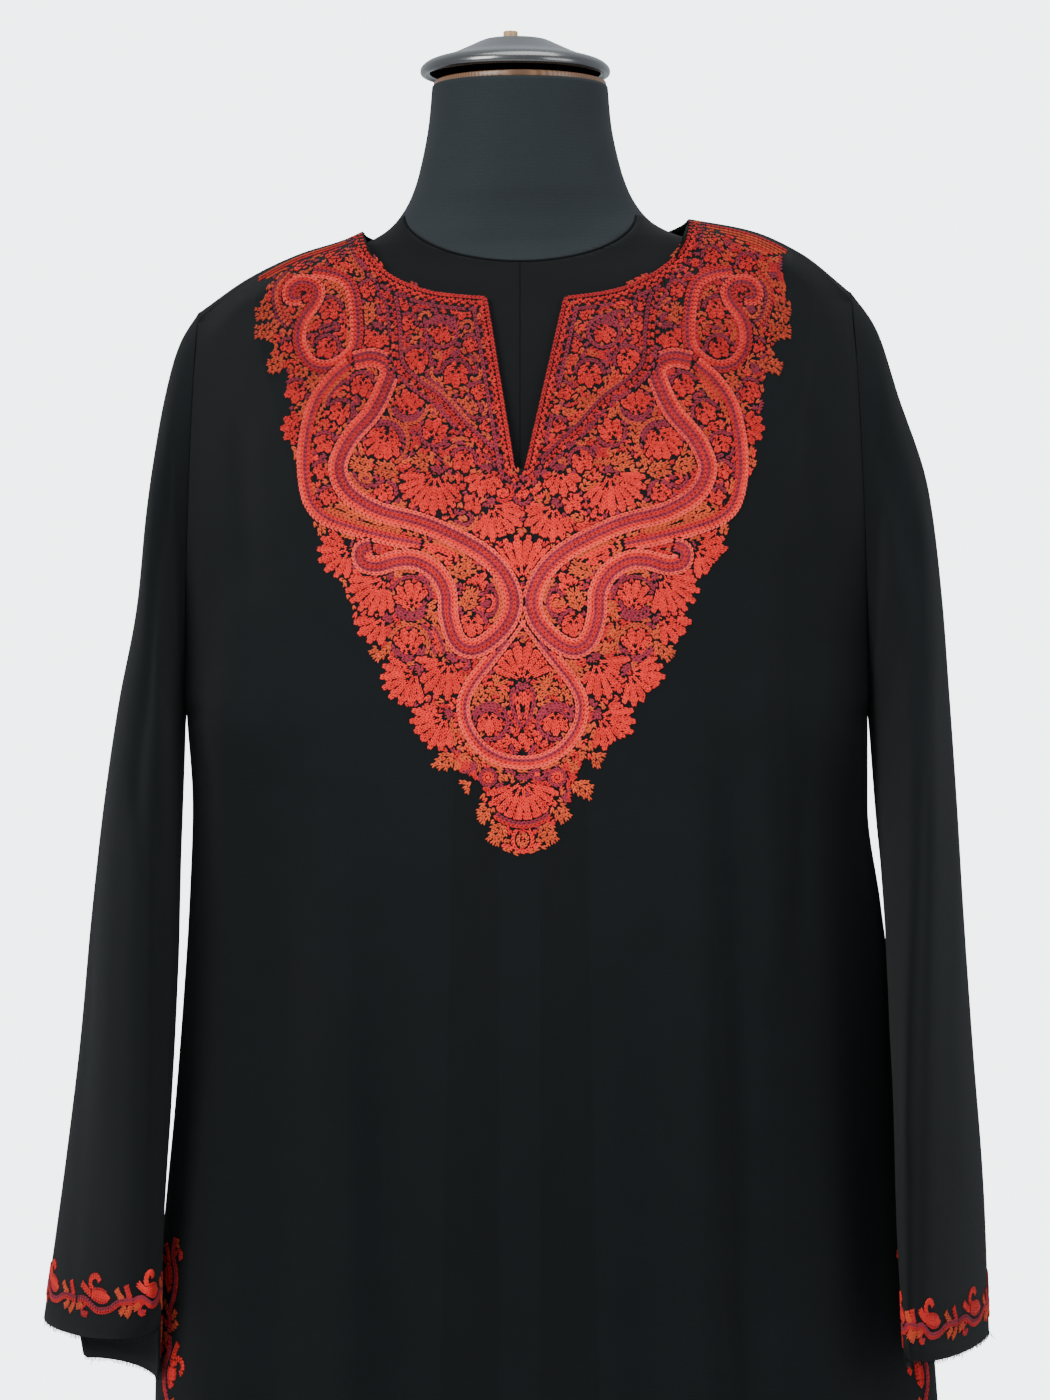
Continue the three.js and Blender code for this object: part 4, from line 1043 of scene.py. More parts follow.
class Chart:
    """The rows laid so far on one panel, on a grid that keeps new rows off them."""

    def __init__(self, low, high, room):
        self.low = np.array(low, dtype=float)
        self.shape = tuple(int(v) for v in np.ceil((np.array(high) - low) / CELL) + 1)
        self.taken = np.zeros(self.shape, dtype=bool)
        self.close = np.zeros(self.shape, dtype=bool)
        self.centre = np.zeros(self.shape, dtype=bool)
        x, z = np.meshgrid(*(low[k] + CELL * np.arange(self.shape[k]) for k in (0, 1)), indexing="ij")
        self.room = room(x.ravel(), z.ravel()).reshape(self.shape)
        self.laid = []
        self.discs = [self.disc(CLEARANCE), self.disc(PETAL_CLEARANCE)]

    def disc(self, radius):
        reach = int(radius / CELL) + 1
        spots = np.arange(-reach, reach + 1)
        near = np.stack(np.meshgrid(spots, spots, indexing="ij"), axis=-1).reshape(-1, 2)
        return near[np.hypot(near[:, 0], near[:, 1]) * CELL <= radius]

    def cells(self, path):
        return np.clip(np.rint((path - self.low) / CELL).astype(int), 0, np.array(self.shape) - 1)

    def row(self, path, yarn, shortest=4.0, step=3.0, inset=0.0, before=None):
        """Lays the free stretches of a path as rows of stitches."""
        path = resample(path, CELL)
        i, j = self.cells(path).T
        blocked = self.taken[i, j] if before is None else before[i, j] | self.close[i, j]
        free = (self.room[i, j] >= inset) & ~blocked
        edges = np.flatnonzero(np.diff(np.concatenate([[0], free.astype(int), [0]])))
        for start, end in zip(edges[::2], edges[1::2]):
            if (end - start) * CELL >= shortest:
                self.laid.append((path[start:end], yarn, step))
                self.centre[i[start:end], j[start:end]] = True
                for grid, disc in zip((self.taken, self.close), self.discs):
                    stamp = (np.stack([i, j], axis=1)[start:end, None] + disc[None]).reshape(-1, 2)
                    stamp = np.clip(stamp, 0, np.array(self.shape) - 1)
                    grid[stamp[:, 0], stamp[:, 1]] = True

    def begin(self):
        """Starts a motif, whose rows keep off the rows so far but may crowd each other."""
        self.close[:] = False
        return self.taken.copy()

    def ribbon(self, path, yarns):
        """Rows side by side along a path, from its left to its right."""
        before = self.begin()
        for k, yarn in enumerate(yarns):
            aside = ((len(yarns) - 1) / 2 - k) * RIBBON_GAP
            self.row(beside(path, aside), yarn, 6.0, 2.8, EDGE_ROOM, before)

    def petals(self, heart, reach, turn, spread):
        """Solid petals: close rows from a heart outwards, in lobes of four rows with notches between."""
        before = self.begin()
        wide = math.radians(2 * spread)
        lobes = max(int(round(wide * float(reach(turn)) / PETAL_GAP / 4.8)), 2)
        ways = []
        for lobe in range(lobes):
            for k in range(4):
                away = math.radians(turn - spread + 2 * spread * (lobe + 0.2 + 0.2 * k) / lobes)
                far = float(reach(math.degrees(away))) * (1.0 if k in (1, 2) else 0.87)
                way = np.array([math.cos(away), math.sin(away)])
                ways.append((0 if k == 1 and lobe % 2 else 2 if k in (0, 2) else 1, way, far))
        for rank, way, far in sorted(ways, key=lambda each: each[0]):
            near = (0.1, 0.34, 0.5)[rank] * far
            self.row(heart + way * np.array([[far], [near]]), "coral", 1.2, FINE, EDGE_ROOM, before)

    def flower(self, x, z, radius, turn=90, ring="rust"):
        """A round flower: a rust ring, a plum crescent at its foot, and a fan of solid petals."""
        inner = radius
        if radius > 9:
            self.row(circle(x, z, radius), ring, 3.0, 2.6, EDGE_ROOM)
            inner = radius - 1.9
            self.row(circle(x, z, inner - 1.9, turn + 110, turn + 250), "plum", 2.0, 2.6, EDGE_ROOM)
        self.row(circle(x, z, inner, turn + 90, turn + 270), "plum", 2.0, 2.6, EDGE_ROOM)
        offset = 0.42 * radius
        toward = math.radians(turn)
        heart = np.array([x, z]) - offset * np.array([math.cos(toward), math.sin(toward)])
        rim = inner - 0.2

        def reach(away):
            lean = math.radians(away - turn)
            return offset * math.cos(lean) + math.sqrt(rim ** 2 - (offset * math.sin(lean)) ** 2)

        self.petals(heart, reach, turn, 122)
        self.row(circle(*heart, 0.7, 0, 240), "rust", 1.0, 1.6)

    def fan(self, x, z, radius, turn, spread=75):
        """A fan of solid petals that opens towards an angle in degrees, from a heart with a plum crescent."""
        toward = math.radians(turn)
        heart = np.array([x, z]) - 0.75 * radius * np.array([math.cos(toward), math.sin(toward)])
        self.row(circle(*heart, 2.6, turn + 105, turn + 255), "plum", 2.0, 2.0, EDGE_ROOM)
        self.row(circle(*heart, 4.5, turn + 120, turn + 240), "plum", 2.0, 2.6, EDGE_ROOM)

        def reach(away):
            return 1.72 * radius * (1 - 0.2 * (abs(away - turn) / spread) ** 2)

        self.petals(heart, reach, turn, spread)
        self.row(circle(*heart, 0.8, 0, 220), "rust", 1.0, 1.6)

    def leaves(self, x, z, turn):
        """A sprig: a curved stem with three pairs of short strokes, like an ear of corn."""
        before = self.begin()
        size = SPRIG_SIZE
        way = np.array([math.cos(math.radians(turn)), math.sin(math.radians(turn))])
        side = np.array([-way[1], way[0]])
        foot = np.array([x, z]) - way * size * 0.35
        stem = soft_curve([foot, foot + way * size * 0.5 + side * size * 0.07, foot + way * size])
        self.row(stem, "rust", 3.0, 2.6, SPRIG_ROOM, before)
        for k in range(3):
            start = foot + way * size * (0.12 + 0.25 * k)
            for hand in (-1, 1):
                end = start + way * size * 0.36 + side * hand * size * (0.34 - 0.05 * k)
                middle = (start + end) / 2 + side * hand * 0.9
                stroke = soft_curve([start + side * hand * 0.9, middle, end])
                self.row(stroke, "rust", 3.0, 2.4, SPRIG_ROOM, before)

    def distance(self, limit):
        """Distance from every cell to the nearest row, up to a limit."""
        reach = int(limit / CELL)
        across = np.where(self.centre, 0.0, 1e3)
        for i in range(1, self.shape[0]):
            across[i] = np.minimum(across[i], across[i - 1] + 1)
        for i in range(self.shape[0] - 2, -1, -1):
            across[i] = np.minimum(across[i], across[i + 1] + 1)
        across = np.minimum(across, reach + 1) ** 2
        best = across.copy()
        for k in range(1, reach + 1):
            best[:, k:] = np.minimum(best[:, k:], across[:, :-k] + k * k)
            best[:, :-k] = np.minimum(best[:, :-k], across[:, k:] + k * k)
        return np.sqrt(best) * CELL

    def fill(self, yarns, room, inset):
        """Single loops in the holes that are still left, the widest holes first."""
        field = self.distance(6)
        slope_x, slope_z = np.gradient(field)
        spots = np.argwhere((field >= room) & (self.room >= inset))
        spots = spots[np.argsort(-field[tuple(spots.T)], kind="stable")]
        full = np.zeros(self.shape, dtype=bool)
        disc = self.disc(room + 0.25)
        for i, j in spots:
            if full[i, j]:
                continue
            stamp = np.clip(disc + (i, j), 0, np.array(self.shape) - 1)
            full[stamp[:, 0], stamp[:, 1]] = True
            way = np.array([-slope_z[i, j], slope_x[i, j]])
            way = way / max(np.hypot(*way), 0.05) if np.hypot(*way) > 0.05 else np.array([0.6, 0.8])
            place = self.low + CELL * np.array([i, j])
            yarn = yarns[int(place[0] // 6 * 5 + place[1] // 6 * 7) % len(yarns)]
            self.laid.append((np.stack([place - 1.25 * way, place + 1.25 * way]), yarn, 2.5))

    def echo(self, level, yarns, shortest):
        """Whole rows that follow the laid ones at a distance, in the gaps that are left."""
        field = self.distance(level + 4)
        before = self.begin()
        for k, path in enumerate(level_lines(field, level)):
            path = self.low + path * CELL
            if len(path) < 4:
                continue
            path = resample(path, CELL * 2)
            for _ in range(14):
                path[1:-1] = (path[:-2] + 2 * path[1:-1] + path[2:]) / 4
            self.row(path, yarns[k % len(yarns)], shortest, 2.8, 1.2, before)


def level_lines(field, level):
    """The lines on which a grid of values crosses a level, as lists of places in cells."""
    over = field > level
    nx, nz = field.shape
    links = {}
    count = nx * nz

    def link(a, b):
        links.setdefault(a, []).append(b)
        links.setdefault(b, []).append(a)

    corner = over[:-1, :-1] * 1 + over[1:, :-1] * 2 + over[1:, 1:] * 4 + over[:-1, 1:] * 8
    pairs = {
        1: ((3, 0),), 2: ((0, 1),), 3: ((3, 1),), 4: ((1, 2),), 5: ((3, 0), (1, 2)), 6: ((0, 2),),
        7: ((3, 2),), 8: ((2, 3),), 9: ((2, 0),), 10: ((0, 1), (2, 3)), 11: ((2, 1),), 12: ((1, 3),),
        13: ((1, 0),), 14: ((0, 3),),
    }
    for i, j in zip(*np.nonzero((corner > 0) & (corner < 15))):
        sides = (i * nz + j, count + (i + 1) * nz + j, i * nz + j + 1, count + i * nz + j)
        for a, b in pairs[int(corner[i, j])]:
            link(int(sides[a]), int(sides[b]))

    def spot(key):
        i, j = divmod(key % count, nz)
        a = field[i, j]
        b = field[i, j + 1] if key >= count else field[i + 1, j]
        share = (level - a) / (b - a) if b != a else 0.5
        return (i, j + share) if key >= count else (i + share, j)

    lines, seen = [], set()
    for first in sorted(links, key=lambda key: (len(links[key]) != 1, key)):
        if first in seen:
            continue
        chain = [first]
        seen.add(first)
        while True:
            onward = [key for key in links[chain[-1]] if key not in seen]
            if not onward:
                break
            chain.append(onward[0])
            seen.add(onward[0])
        if len(chain) > 5 and chain[0] in links[chain[-1]]:
            chain.append(chain[0])
        lines.append(np.array([spot(key) for key in chain]))
    return lines


def lay_stitches(surface, laid, painted_light=None):
    """The stitches of all rows on a surface of two coordinates, by yarn: places, ways, shades and sizes. Each
    shade is random tone, plus painted light where that is given.
    """
    middles, ways, yarns, steps, shades = [], [], [], [], []
    for path, yarn, step in laid:
        spots = resample(path, step)
        shades.append(rng.uniform(0.1, 0.9) * 0.6 + 0.4 * rng.uniform(0.1, 0.9, len(spots) - 1))
        middles.append((spots[:-1] + spots[1:]) / 2)
        ways.append(np.diff(spots, axis=0))
        yarns += [yarn] * (len(spots) - 1)
        steps.append(np.full(len(spots) - 1, step))
    middles, ways, steps = np.concatenate(middles), np.concatenate(ways), np.concatenate(steps)
    yarns = np.array(yarns)
    # Random tone per row and stitch, and painted light and shade on top where it is given.
    shades = np.concatenate(shades) + (painted_light(middles) if painted_light else 0)
    wide = np.where(steps > FINE, 1.0, 0.82)
    fits = np.stack([np.hypot(*ways.T) / STITCH["length"], wide, wide], axis=1)
    small = 0.02
    place = surface(*middles.T)
    along = surface(*(middles + small * ways).T) - surface(*(middles - small * ways).T)
    right = surface(middles[:, 0] + 0.4, middles[:, 1]) - surface(middles[:, 0] - 0.4, middles[:, 1])
    rise = surface(middles[:, 0], middles[:, 1] + 0.4) - surface(middles[:, 0], middles[:, 1] - 0.4)
    up = np.cross(right, rise)
    along /= np.linalg.norm(along, axis=1)[:, None]
    up /= np.linalg.norm(up, axis=1)[:, None]
    place = place + up * STITCH["lift"]
    return {
        yarn: tuple(values[yarns == yarn] for values in (place, along, up, np.clip(shades, 0, 1), fits))
        for yarn in YARNS
        if (yarns == yarn).any()
    }


# The yoke: places in millimetres, across from its middle line and up from the floor

YOKE_MIDDLE = 1.8
SCALLOPS = {
    -1: rows(
        "z half", (1366, 163), (1322, 161), (1317, 165), (1294, 163), (1282, 159), (1270, 151), (1234, 147),
        (1210, 139), (1179, 129), (1142, 119), (1136, 111), (1112, 104), (1090, 87), (1069, 82), (1054, 70),
        (1032, 52), (1023, 49), (1017, 35), (1002, 24), (984, 17), (973, 12), (967, 3),
    ),
    1: rows(
        "z half", (1366, 170), (1331, 171), (1318, 173), (1297, 173), (1276, 159), (1248, 157), (1225, 148),
        (1203, 145), (1185, 134), (1158, 125), (1142, 112), (1124, 106), (1109, 101), (1094, 90), (1075, 85),
        (1066, 73), (1045, 68), (1036, 52), (1020, 42), (1002, 37), (993, 27), (974, 18), (967, 9),
    ),
}
INNER_BORDER = (
    (88, 1318), (82, 1311), (79, 1292), (77, 1270), (67, 1258), (51, 1246), (35, 1228), (20, 1214), (1, 1194),
)
LONG_STRAND = (
    (104, 1272), (92, 1274), (82, 1268), (84, 1257), (92, 1240), (105, 1225), (112, 1212), (113, 1202),
    (106, 1189), (88, 1178), (66, 1172), (50, 1166), (27, 1154), (13, 1141), (6, 1125), (9, 1111), (20, 1099),
    (31, 1094), (40, 1099), (45, 1114), (46, 1129), (53, 1141), (65, 1148), (77, 1148), (88, 1145),
    (97, 1147), (98, 1154), (92, 1156),
)
OUTER_STRAND = (
    (107, 1271), (118, 1262), (128, 1248), (133, 1231), (135, 1212), (134, 1197), (130, 1183), (121, 1174),
    (103, 1167), (81, 1161), (62, 1157),
)
PAISLEY = (
    (131, 1331), (117, 1328), (107, 1320), (103, 1299), (104, 1281), (116, 1270), (130, 1271), (138, 1283),
    (137, 1298), (129, 1310), (127, 1318), (132, 1324), (140, 1325), (146, 1320), (145, 1313), (138, 1313),
)
PAISLEY_ARM = ((146, 1331), (154, 1319), (151, 1303), (145, 1296))
TEARDROP = (
    (1, 1113), (11, 1099), (21, 1086), (31, 1073), (36, 1061), (34, 1047), (25, 1034), (13, 1027), (0, 1025),
)
# Round flowers: place, radius and the angle their petals open to
FLOWERS = (
    (29, 1184, 8, 250), (12, 1083, 5, 120), (36, 1209, 8, 250), (85, 1221, 15, 250), (54, 1227, 9, 70),
    (70, 1244, 12, 80), (50, 1290, 10, 250), (41, 1263, 9, 270), (65, 1272, 9, 240), (37, 1305, 8, 230),
    (99, 1257, 8, 250), (112, 1240, 8, 240), (122, 1221, 7, 230), (123, 1204, 6, 250), (119, 1188, 6, 250),
    (120, 1306, 8, 270), (121, 1281, 8, 250), (140, 1254, 8, 230), (68, 1125, 13, 100), (69, 1097, 12, 90),
    (20, 1050, 11, 270), (29, 1134, 9, 90), (31, 1109, 9, 270), (71, 1296, 6, 250), (74, 1308, 5, 250),
    (31, 1282, 6, 250), (26, 1252, 6, 250), (22, 1231, 5, 250), (96, 1318, 6, 250), (84, 1190, 7, 250),
    (46, 1178, 6, 250), (118, 1341, 6, 250), (140, 1337, 6, 250), (146, 1283, 5, 250), (86, 1330, 5, 250),
)
# Fans: place, radius and the angle they open to
FANS = (
    (142, 1231, 8, 180), (92, 1286, 8, 250), (57, 1190, 15, 250), (24, 1195, 9, 260), (14, 1172, 13, 300),
    (114, 1152, 12, 200), (93, 1131, 15, 215), (92, 1110, 11, 200), (73, 1074, 13, 215), (50, 1077, 14, 240),
    (55, 1047, 13, 215), (16, 1152, 9, 40),
)
SPRIGS = (
    (46, 1027, 225), (36, 1010, 215), (21, 997, 230), (14, 984, 240), (97, 1206, 160), (81, 1203, 165),
    (58, 1207, 150), (158, 1306, 190), (158, 1293, 180), (152, 1272, 200), (38, 1141, 20), (52, 1120, 250),
    (33, 1122, 70), (62, 1160, 170), (96, 1300, 90), (149, 1318, 100), (64, 1256, 120), (104, 1213, 250),
    (28, 1070, 240), (14, 1076, 60), (84, 1095, 220), (126, 1262, 220), (128, 1243, 260), (12, 1208, 280),
)


def neck_level(side, across):
    """Level of the front neckline at a distance from the panel's middle."""
    neck = FRONT_NECKS[side]
    order = np.argsort(neck["x"])
    return np.interp(across, neck["x"][order], neck["z"][order])


def slit_half(side, z):
    corner_x, corner_z = FRONT_NECKS[side]["x"][-1], FRONT_NECKS[side]["z"][-1]
    foot_z = mix(corner_z, ARMHOLES[side]["pit_z"], SLIT_REACH)
    return mix(SLIT_HALF, corner_x, np.clip((z - foot_z) / (corner_z - foot_z), 0, 1)) * (z > foot_z - 1)


def yoke_room(x, z):
    """How far inside the yoke's scalloped edge places are, far below 0 where there is no cloth."""
    across, right = np.abs(x), x < 0
    half = np.where(right, read(SCALLOPS[-1], "half", z), read(SCALLOPS[1], "half", z))
    room = np.minimum(half - across, z - YOKE_TIP_Z + 3)
    fits = z < seam_z(x) - 1.6
    for side, own in ((-1, right), (1, ~right)):
        near = own & (across < FRONT_NECKS[side]["x"][0])
        fits &= ~near | (z < neck_level(side, across) - 1.2)
        beside_slit = own & (across < FRONT_NECKS[side]["x"][-1] + 4) & (z >= 1200)
        fits &= ~beside_slit | (across > slit_half(side, z) + 1.0)
    return np.where(fits, room, -99)


def neck_edge(side):
    """The neckline and the side of the throat slit, from the shoulder seam to the slit's foot."""
    neck = FRONT_NECKS[side]
    share = np.linspace(0, 1, 60)
    over = np.stack([side * read(neck, "x", share, "share"), read(neck, "z", share, "share")], axis=1)
    foot_z = mix(neck["z"][-1], ARMHOLES[side]["pit_z"], SLIT_REACH)
    down = np.array([[side * neck["x"][-1], neck["z"][-1]], [side * SLIT_HALF, foot_z], [0, foot_z - 5]])
    return resample(np.concatenate([over, down[1:]]), CELL)


def zigzag(path, height=1.5):
    run = np.arange(len(path)) * CELL
    wave = height * np.sin(2 * np.pi * run / ZIGZAG_PITCH)
    return beside(path, 0) + (beside(path, 1) - path) * wave[:, None]


def lay_edge(chart, way, yarn, waved, height=1.5):
    """One row of a border, straight or in a fine zigzag."""
    chart.row(zigzag(way, height) if waved else way, yarn, step=1.7 if waved else 2.6)


def border(chart, path, side, first):
    """A dark edge row, two bright zigzag rows and a dark row, side by side."""
    for distance, yarn, waved in (
        (0, "crimson", False), (3.0, "coral", True), (5.2, "crimson", True), (8.0, "plum", False),
    ):
        way = beside(path, side * (first + distance))
        lay_edge(chart, soft_curve(way[::10]), yarn, waved)


def mirrored(side, points):
    return [(YOKE_MIDDLE + side * across, z) for across, z in points]


def mirrored_turn(side, turn):
    return turn if side < 0 else 180 - turn


def yoke_chart():
    """All rows of the yoke: borders and ribbons first, then its motifs, and what fills the gaps last."""
    chart = Chart((-190, 955), (195, 1372), yoke_room)
    for side in (-1, 1):
        border(chart, neck_edge(side), side, 1.6)
    for side in (-1, 1):
        inner = soft_curve(mirrored(side, INNER_BORDER))
        for distance, yarn, waved in (
            (-3.4, "plum", False), (-1.1, "crimson", True), (1.1, "coral", True), (3.4, "plum", False),
        ):
            lay_edge(chart, beside(inner, side * distance), yarn, waved, 0.9)
    for side in (-1, 1):
        across = side * np.linspace(FRONT_NECKS[side]["x"][0] + 6, 168, 60)
        chart.ribbon(np.stack([across, seam_z(across) - 4.4], axis=1), ("crimson", "rust"))
    wide_band = ("rose", "coral", "plum", "crimson", "plum", "rose")
    band = ("rose", "coral", "plum", "crimson")
    for side in (-1, 1):
        chart.ribbon(soft_curve(mirrored(side, LONG_STRAND)), wide_band[::side])
        chart.ribbon(soft_curve(mirrored(side, OUTER_STRAND)), band[::side])
        chart.ribbon(soft_curve(mirrored(side, PAISLEY)), band[::side])
        chart.ribbon(soft_curve(mirrored(side, PAISLEY_ARM)), ("crimson", "rust", "plum"))
    drop = mirrored(-1, TEARDROP) + mirrored(1, TEARDROP)[-2::-1]
    chart.ribbon(soft_curve(drop), ("rose", "plum", "coral", "rose"))
    middle = YOKE_MIDDLE
    chart.fan(middle, 1148, 16, 90, 80)
    chart.fan(middle, 1085, 14, 90, 75)
    chart.ribbon(circle(middle, 1012, 25, 228, 312), ("plum", "crimson"))
    chart.fan(middle, 1001, 16, 270, 80)
    for radius, yarn in ((7.5, "coral"), (5.6, "crimson"), (3.7, "rust"), (1.8, "coral")):
        chart.row(circle(middle, 978, radius) * (0.8, 1) + (middle * 0.2, 0), yarn, 2.0, 2.4, EDGE_ROOM)
    for half, yarn in ((7.0, "plum"), (5.0, "crimson"), (3.1, "coral"), (1.2, "coral")):
        leaf = [(middle, 1079), (middle - half, 1066), (middle - half * 0.7, 1054), (middle, 1046)]
        chart.row(soft_curve(leaf), yarn, 3.0)
        chart.row(soft_curve([(2 * middle - x, z) for x, z in leaf]), yarn, 3.0)
    chart.flower(middle, 1036, 7)
    chart.flower(middle, 1187, 5)
    for side in (-1, 1):
        for across, z, radius, turn in FANS:
            chart.fan(middle + side * across, z, radius, mirrored_turn(side, turn))
        for across, z, turn in SPRIGS:
            chart.leaves(middle + side * across, z, mirrored_turn(side, turn))
        for k, (across, z, radius, turn) in enumerate(FLOWERS):
            ring = "rust" if k % 2 else "plum"
            chart.flower(middle + side * across, z, radius, mirrored_turn(side, turn), ring)
        for x, z, size in ((13, 1077, 4.4), (21, 1016, 5.0)):
            for share, yarn in ((1, "plum"), (0.6, "coral"), (0.2, "coral")):
                chart.row(circle(middle + side * x, z, size * share), yarn, 1.0, 2.0, EDGE_ROOM)
    for level, yarns, shortest in (
        (1.85, ("rust", "rust", "crimson"), 6.0), (1.8, ("rust", "coral", "plum"), 5.0),
        (1.8, ("coral", "rust"), 4.0), (1.8, ("rust", "plum"), 3.5),
    ):
        chart.echo(level, yarns, shortest)
    chart.fill(("crimson", "plum", "crimson", "rust"), 1.7, 7.0)
    return chart


def yoke_stitches():
    """Every stitch of the yoke by its yarn; the rows lower down are a little brighter and the upper rows
    darker, as painted light and shade.
    """
    bright_z, soft_over = 1290, 150

    # Painted light and shade: the stitches' shade is lowered high on the yoke and raised towards its lower
    # middle.
    def painted_light(spots):
        return 0.7 * smooth((bright_z - spots[:, 1]) / soft_over) - 0.42

    return lay_stitches(front_point, yoke_chart().laid, painted_light)


# Vines round the cuffs and along the side slits: one unit runs along its stem, and repeats

UNIT = 58.8
VINE_STEM = ((0, 0), (10, 1), (22, -4.5), (34, -4), (43, 0), (50, 0.5), (58.8, 0))
VINE_HOOK = ((12, -1), (7, -4.5), (8, -8.5), (12.5, -8.5), (12.5, -6))
VINE_TIP = ((20, 8), (15.5, 10.5), (16.5, 14.5), (21, 15.5), (23.5, 12.5))
VINE_BRACT = ((18, 4), (12, 6.5), (5.5, 10.5))
VINE_LEAVES = (
    ((48, 2), (44, 4.5), (41, 8.5)), ((55.5, 2), (53, 6), (51, 10.5)), ((50, -2), (48, -4.5), (44.5, -6.5)),
    ((56, -2), (54.5, -5.5), (51, -8.5)), ((7, -1.5), (4.5, -3.5), (0.5, -4.5)),
)
CUFF_VINES = {-1: {"z": 693, "turn": 1.02, "start": -40}, 1: {"z": 684, "turn": 1.02, "start": -20}}
SLIT_VINE_LEAN = 0.62


def vine(chart, move, units):
    """Lays vine units end to end: move places a point along and beside the stem on the chart."""
    for unit in range(units):
        def at(points, widen=0.0):
            path = beside(soft_curve(points), widen)
            return move(path[:, 0] + unit * UNIT, path[:, 1], unit)

        before = chart.begin()
        for k in (0, 1, -1, 2, -2):
            bud = [(34.5, 3.2 + 0.5 * k), (26, 4.2 + 1.9 * k), (16.5, 5.5 + 1.1 * k)]
            chart.row(at(bud), "coral" if abs(k) < 2 else "crimson", 2.0, 2.4, 0.0, before)
        for widen in (0, 1.7):
            chart.row(at(VINE_TIP, widen), "coral", 2.0, 2.2, 0.0, before)
        for widen in (-0.9, 0.9):
            chart.row(at(VINE_BRACT, widen), "coral", 2.0, 2.4, 0.0, before)
        for widen, yarn in ((-1.0, "crimson"), (1.0, "plum")):
            chart.row(at(VINE_STEM, widen), yarn, 2.0, 2.6, 0.0, before)
        chart.row(at(VINE_HOOK), "crimson", 2.0, 2.4, 0.0, before)
        chart.row(at(VINE_HOOK[2:], 1.5), "plum", 2.0, 2.4, 0.0, before)
        for k, leaf in enumerate(VINE_LEAVES):
            for widen in (-0.85, 0.85):
                chart.row(at(leaf, widen), "rust" if k != 1 else "crimson", 2.0, 2.4, 0.0, before)


def cuff_vine(side):
    """The vine round one cuff: distance round the sleeve and height above the vine's middle."""
    place = CUFF_VINES[side]
    chart = Chart((0, -16), (6 * UNIT, 20), lambda x, z: np.minimum(x, 6 * UNIT - x))
    vine(chart, lambda along, beside_it, unit: np.stack([along, beside_it], axis=1), 6)
    ladder = np.linspace(8, 10, 21)

    def surface(along, rise):
        levels = sleeve_point(side, ladder, 90)[:, 2]
        s = np.interp(-(place["z"] + rise), -levels, ladder)
        return sleeve_point(side, s, -side * (place["start"] + place["turn"] * along))

    return lay_stitches(surface, chart.laid)


def slit_vine(side, face):
    """The vine down one panel's side slit, with its buds to one side and the other in turn."""
    def room(x, z):
        return np.minimum(edge_x(side, z) - side * x - 3, np.minimum(z - HEM_Z - 8, SLIT_TOP_Z - z))

    def move(along, beside_it, unit):
        z = SLIT_TOP_Z - 2 - along
        hand = 1 if unit % 2 else -1
        x = edge_x(side, z) - SLIT_VINE_LEAN * (19 + hand * beside_it)
        return np.stack([side * x, z], axis=1)

    wide = edge_x(side, HEM_Z) + 5
    low = (-wide, HEM_Z) if side < 0 else (100, HEM_Z)
    high = (-100, SLIT_TOP_Z) if side < 0 else (wide, SLIT_TOP_Z)
    chart = Chart(low, high, room)
    vine(chart, move, 8)
    if face == "front":
        return lay_stitches(front_point, chart.laid)
    laid = [(path * (-1, 1), yarn, step) for path, yarn, step in chart.laid]
    return lay_stitches(lambda across, z: back_point(-across, z), laid)


def vine_stitches():
    parts = [cuff_vine(side) for side in (-1, 1)]
    parts += [slit_vine(side, face) for side in (-1, 1) for face in ("front", "back")]
    return {yarn: [part[yarn] for part in parts if yarn in part] for yarn in YARNS}


def cuff_threads(side):
    """Frayed ends along the cut edge of a cuff."""
    degrees = np.arange(0, 360, 1.0) + rng.uniform(-0.4, 0.4, 360)
    long = rng.uniform(1.0, 3.0, 360) * (1 + 1.2 * (rng.uniform(0, 1, 360) > 0.93))
    foot = sleeve_point(side, 10, degrees)
    out = foot - foot.mean(axis=0)
    out[:, 2] = 0
    out /= np.linalg.norm(out, axis=1)[:, None]
    along = np.stack([rng.normal(0, 0.3, 360), rng.normal(0, 0.3, 360), np.full(360, -1.0)], axis=1)
    along /= np.linalg.norm(along, axis=1)[:, None]
    place = foot - out * rng.uniform(0.3, 1.3, 360)[:, None] + along * (long * 0.35)[:, None]
    fits = np.stack([long / STITCH["length"], np.full(360, 0.13), np.full(360, 0.22)], axis=1)
    return place, along, out, np.full(360, 0.5), fits


# Putting it together

FLOOR_RADIUS = 3200
# Lamps in metres: name, kind, place, target, power, an area's width or a spot's angle, colour
LAMPS = (
    ("key_window", "AREA", (-1.9, -2.3, 2.3), (0, 0, 1.1), 90, 1.5, (1, 0.98, 0.95)),
    ("fill_window", "AREA", (2.4, -1.8, 1.5), (0, 0, 1.0), 30, 1.8, (1, 1, 1)),
    ("top_light", "AREA", (0.2, -0.4, 3.0), (0, 0, 1.2), 28, 1.6, (1, 1, 1)),
    ("front_light", "SPOT", (0.1, -2.6, 1.5), (0, -0.1, 1.08), 200, math.radians(10), (1, 1, 1)),
)


def add_lamp(name, kind, place, target, energy, size, colour):
    """An area lamp or a soft-edged spot, turned to its target."""
    lamp = bpy.data.lights.new(name, kind)
    lamp.energy = energy
    lamp.color = colour
    if kind == "SPOT":
        lamp.spot_size, lamp.spot_blend, lamp.shadow_soft_size = size, 1.0, 0.2
    else:
        lamp.size = size
    made = new_object(name, lamp)
    made.location = place
    away = np.array(target) - np.array(place)
    flat = math.hypot(away[0], away[1])
    made.rotation_euler = (math.atan2(flat, -away[2]), 0, math.atan2(away[1], away[0]) - math.pi / 2)


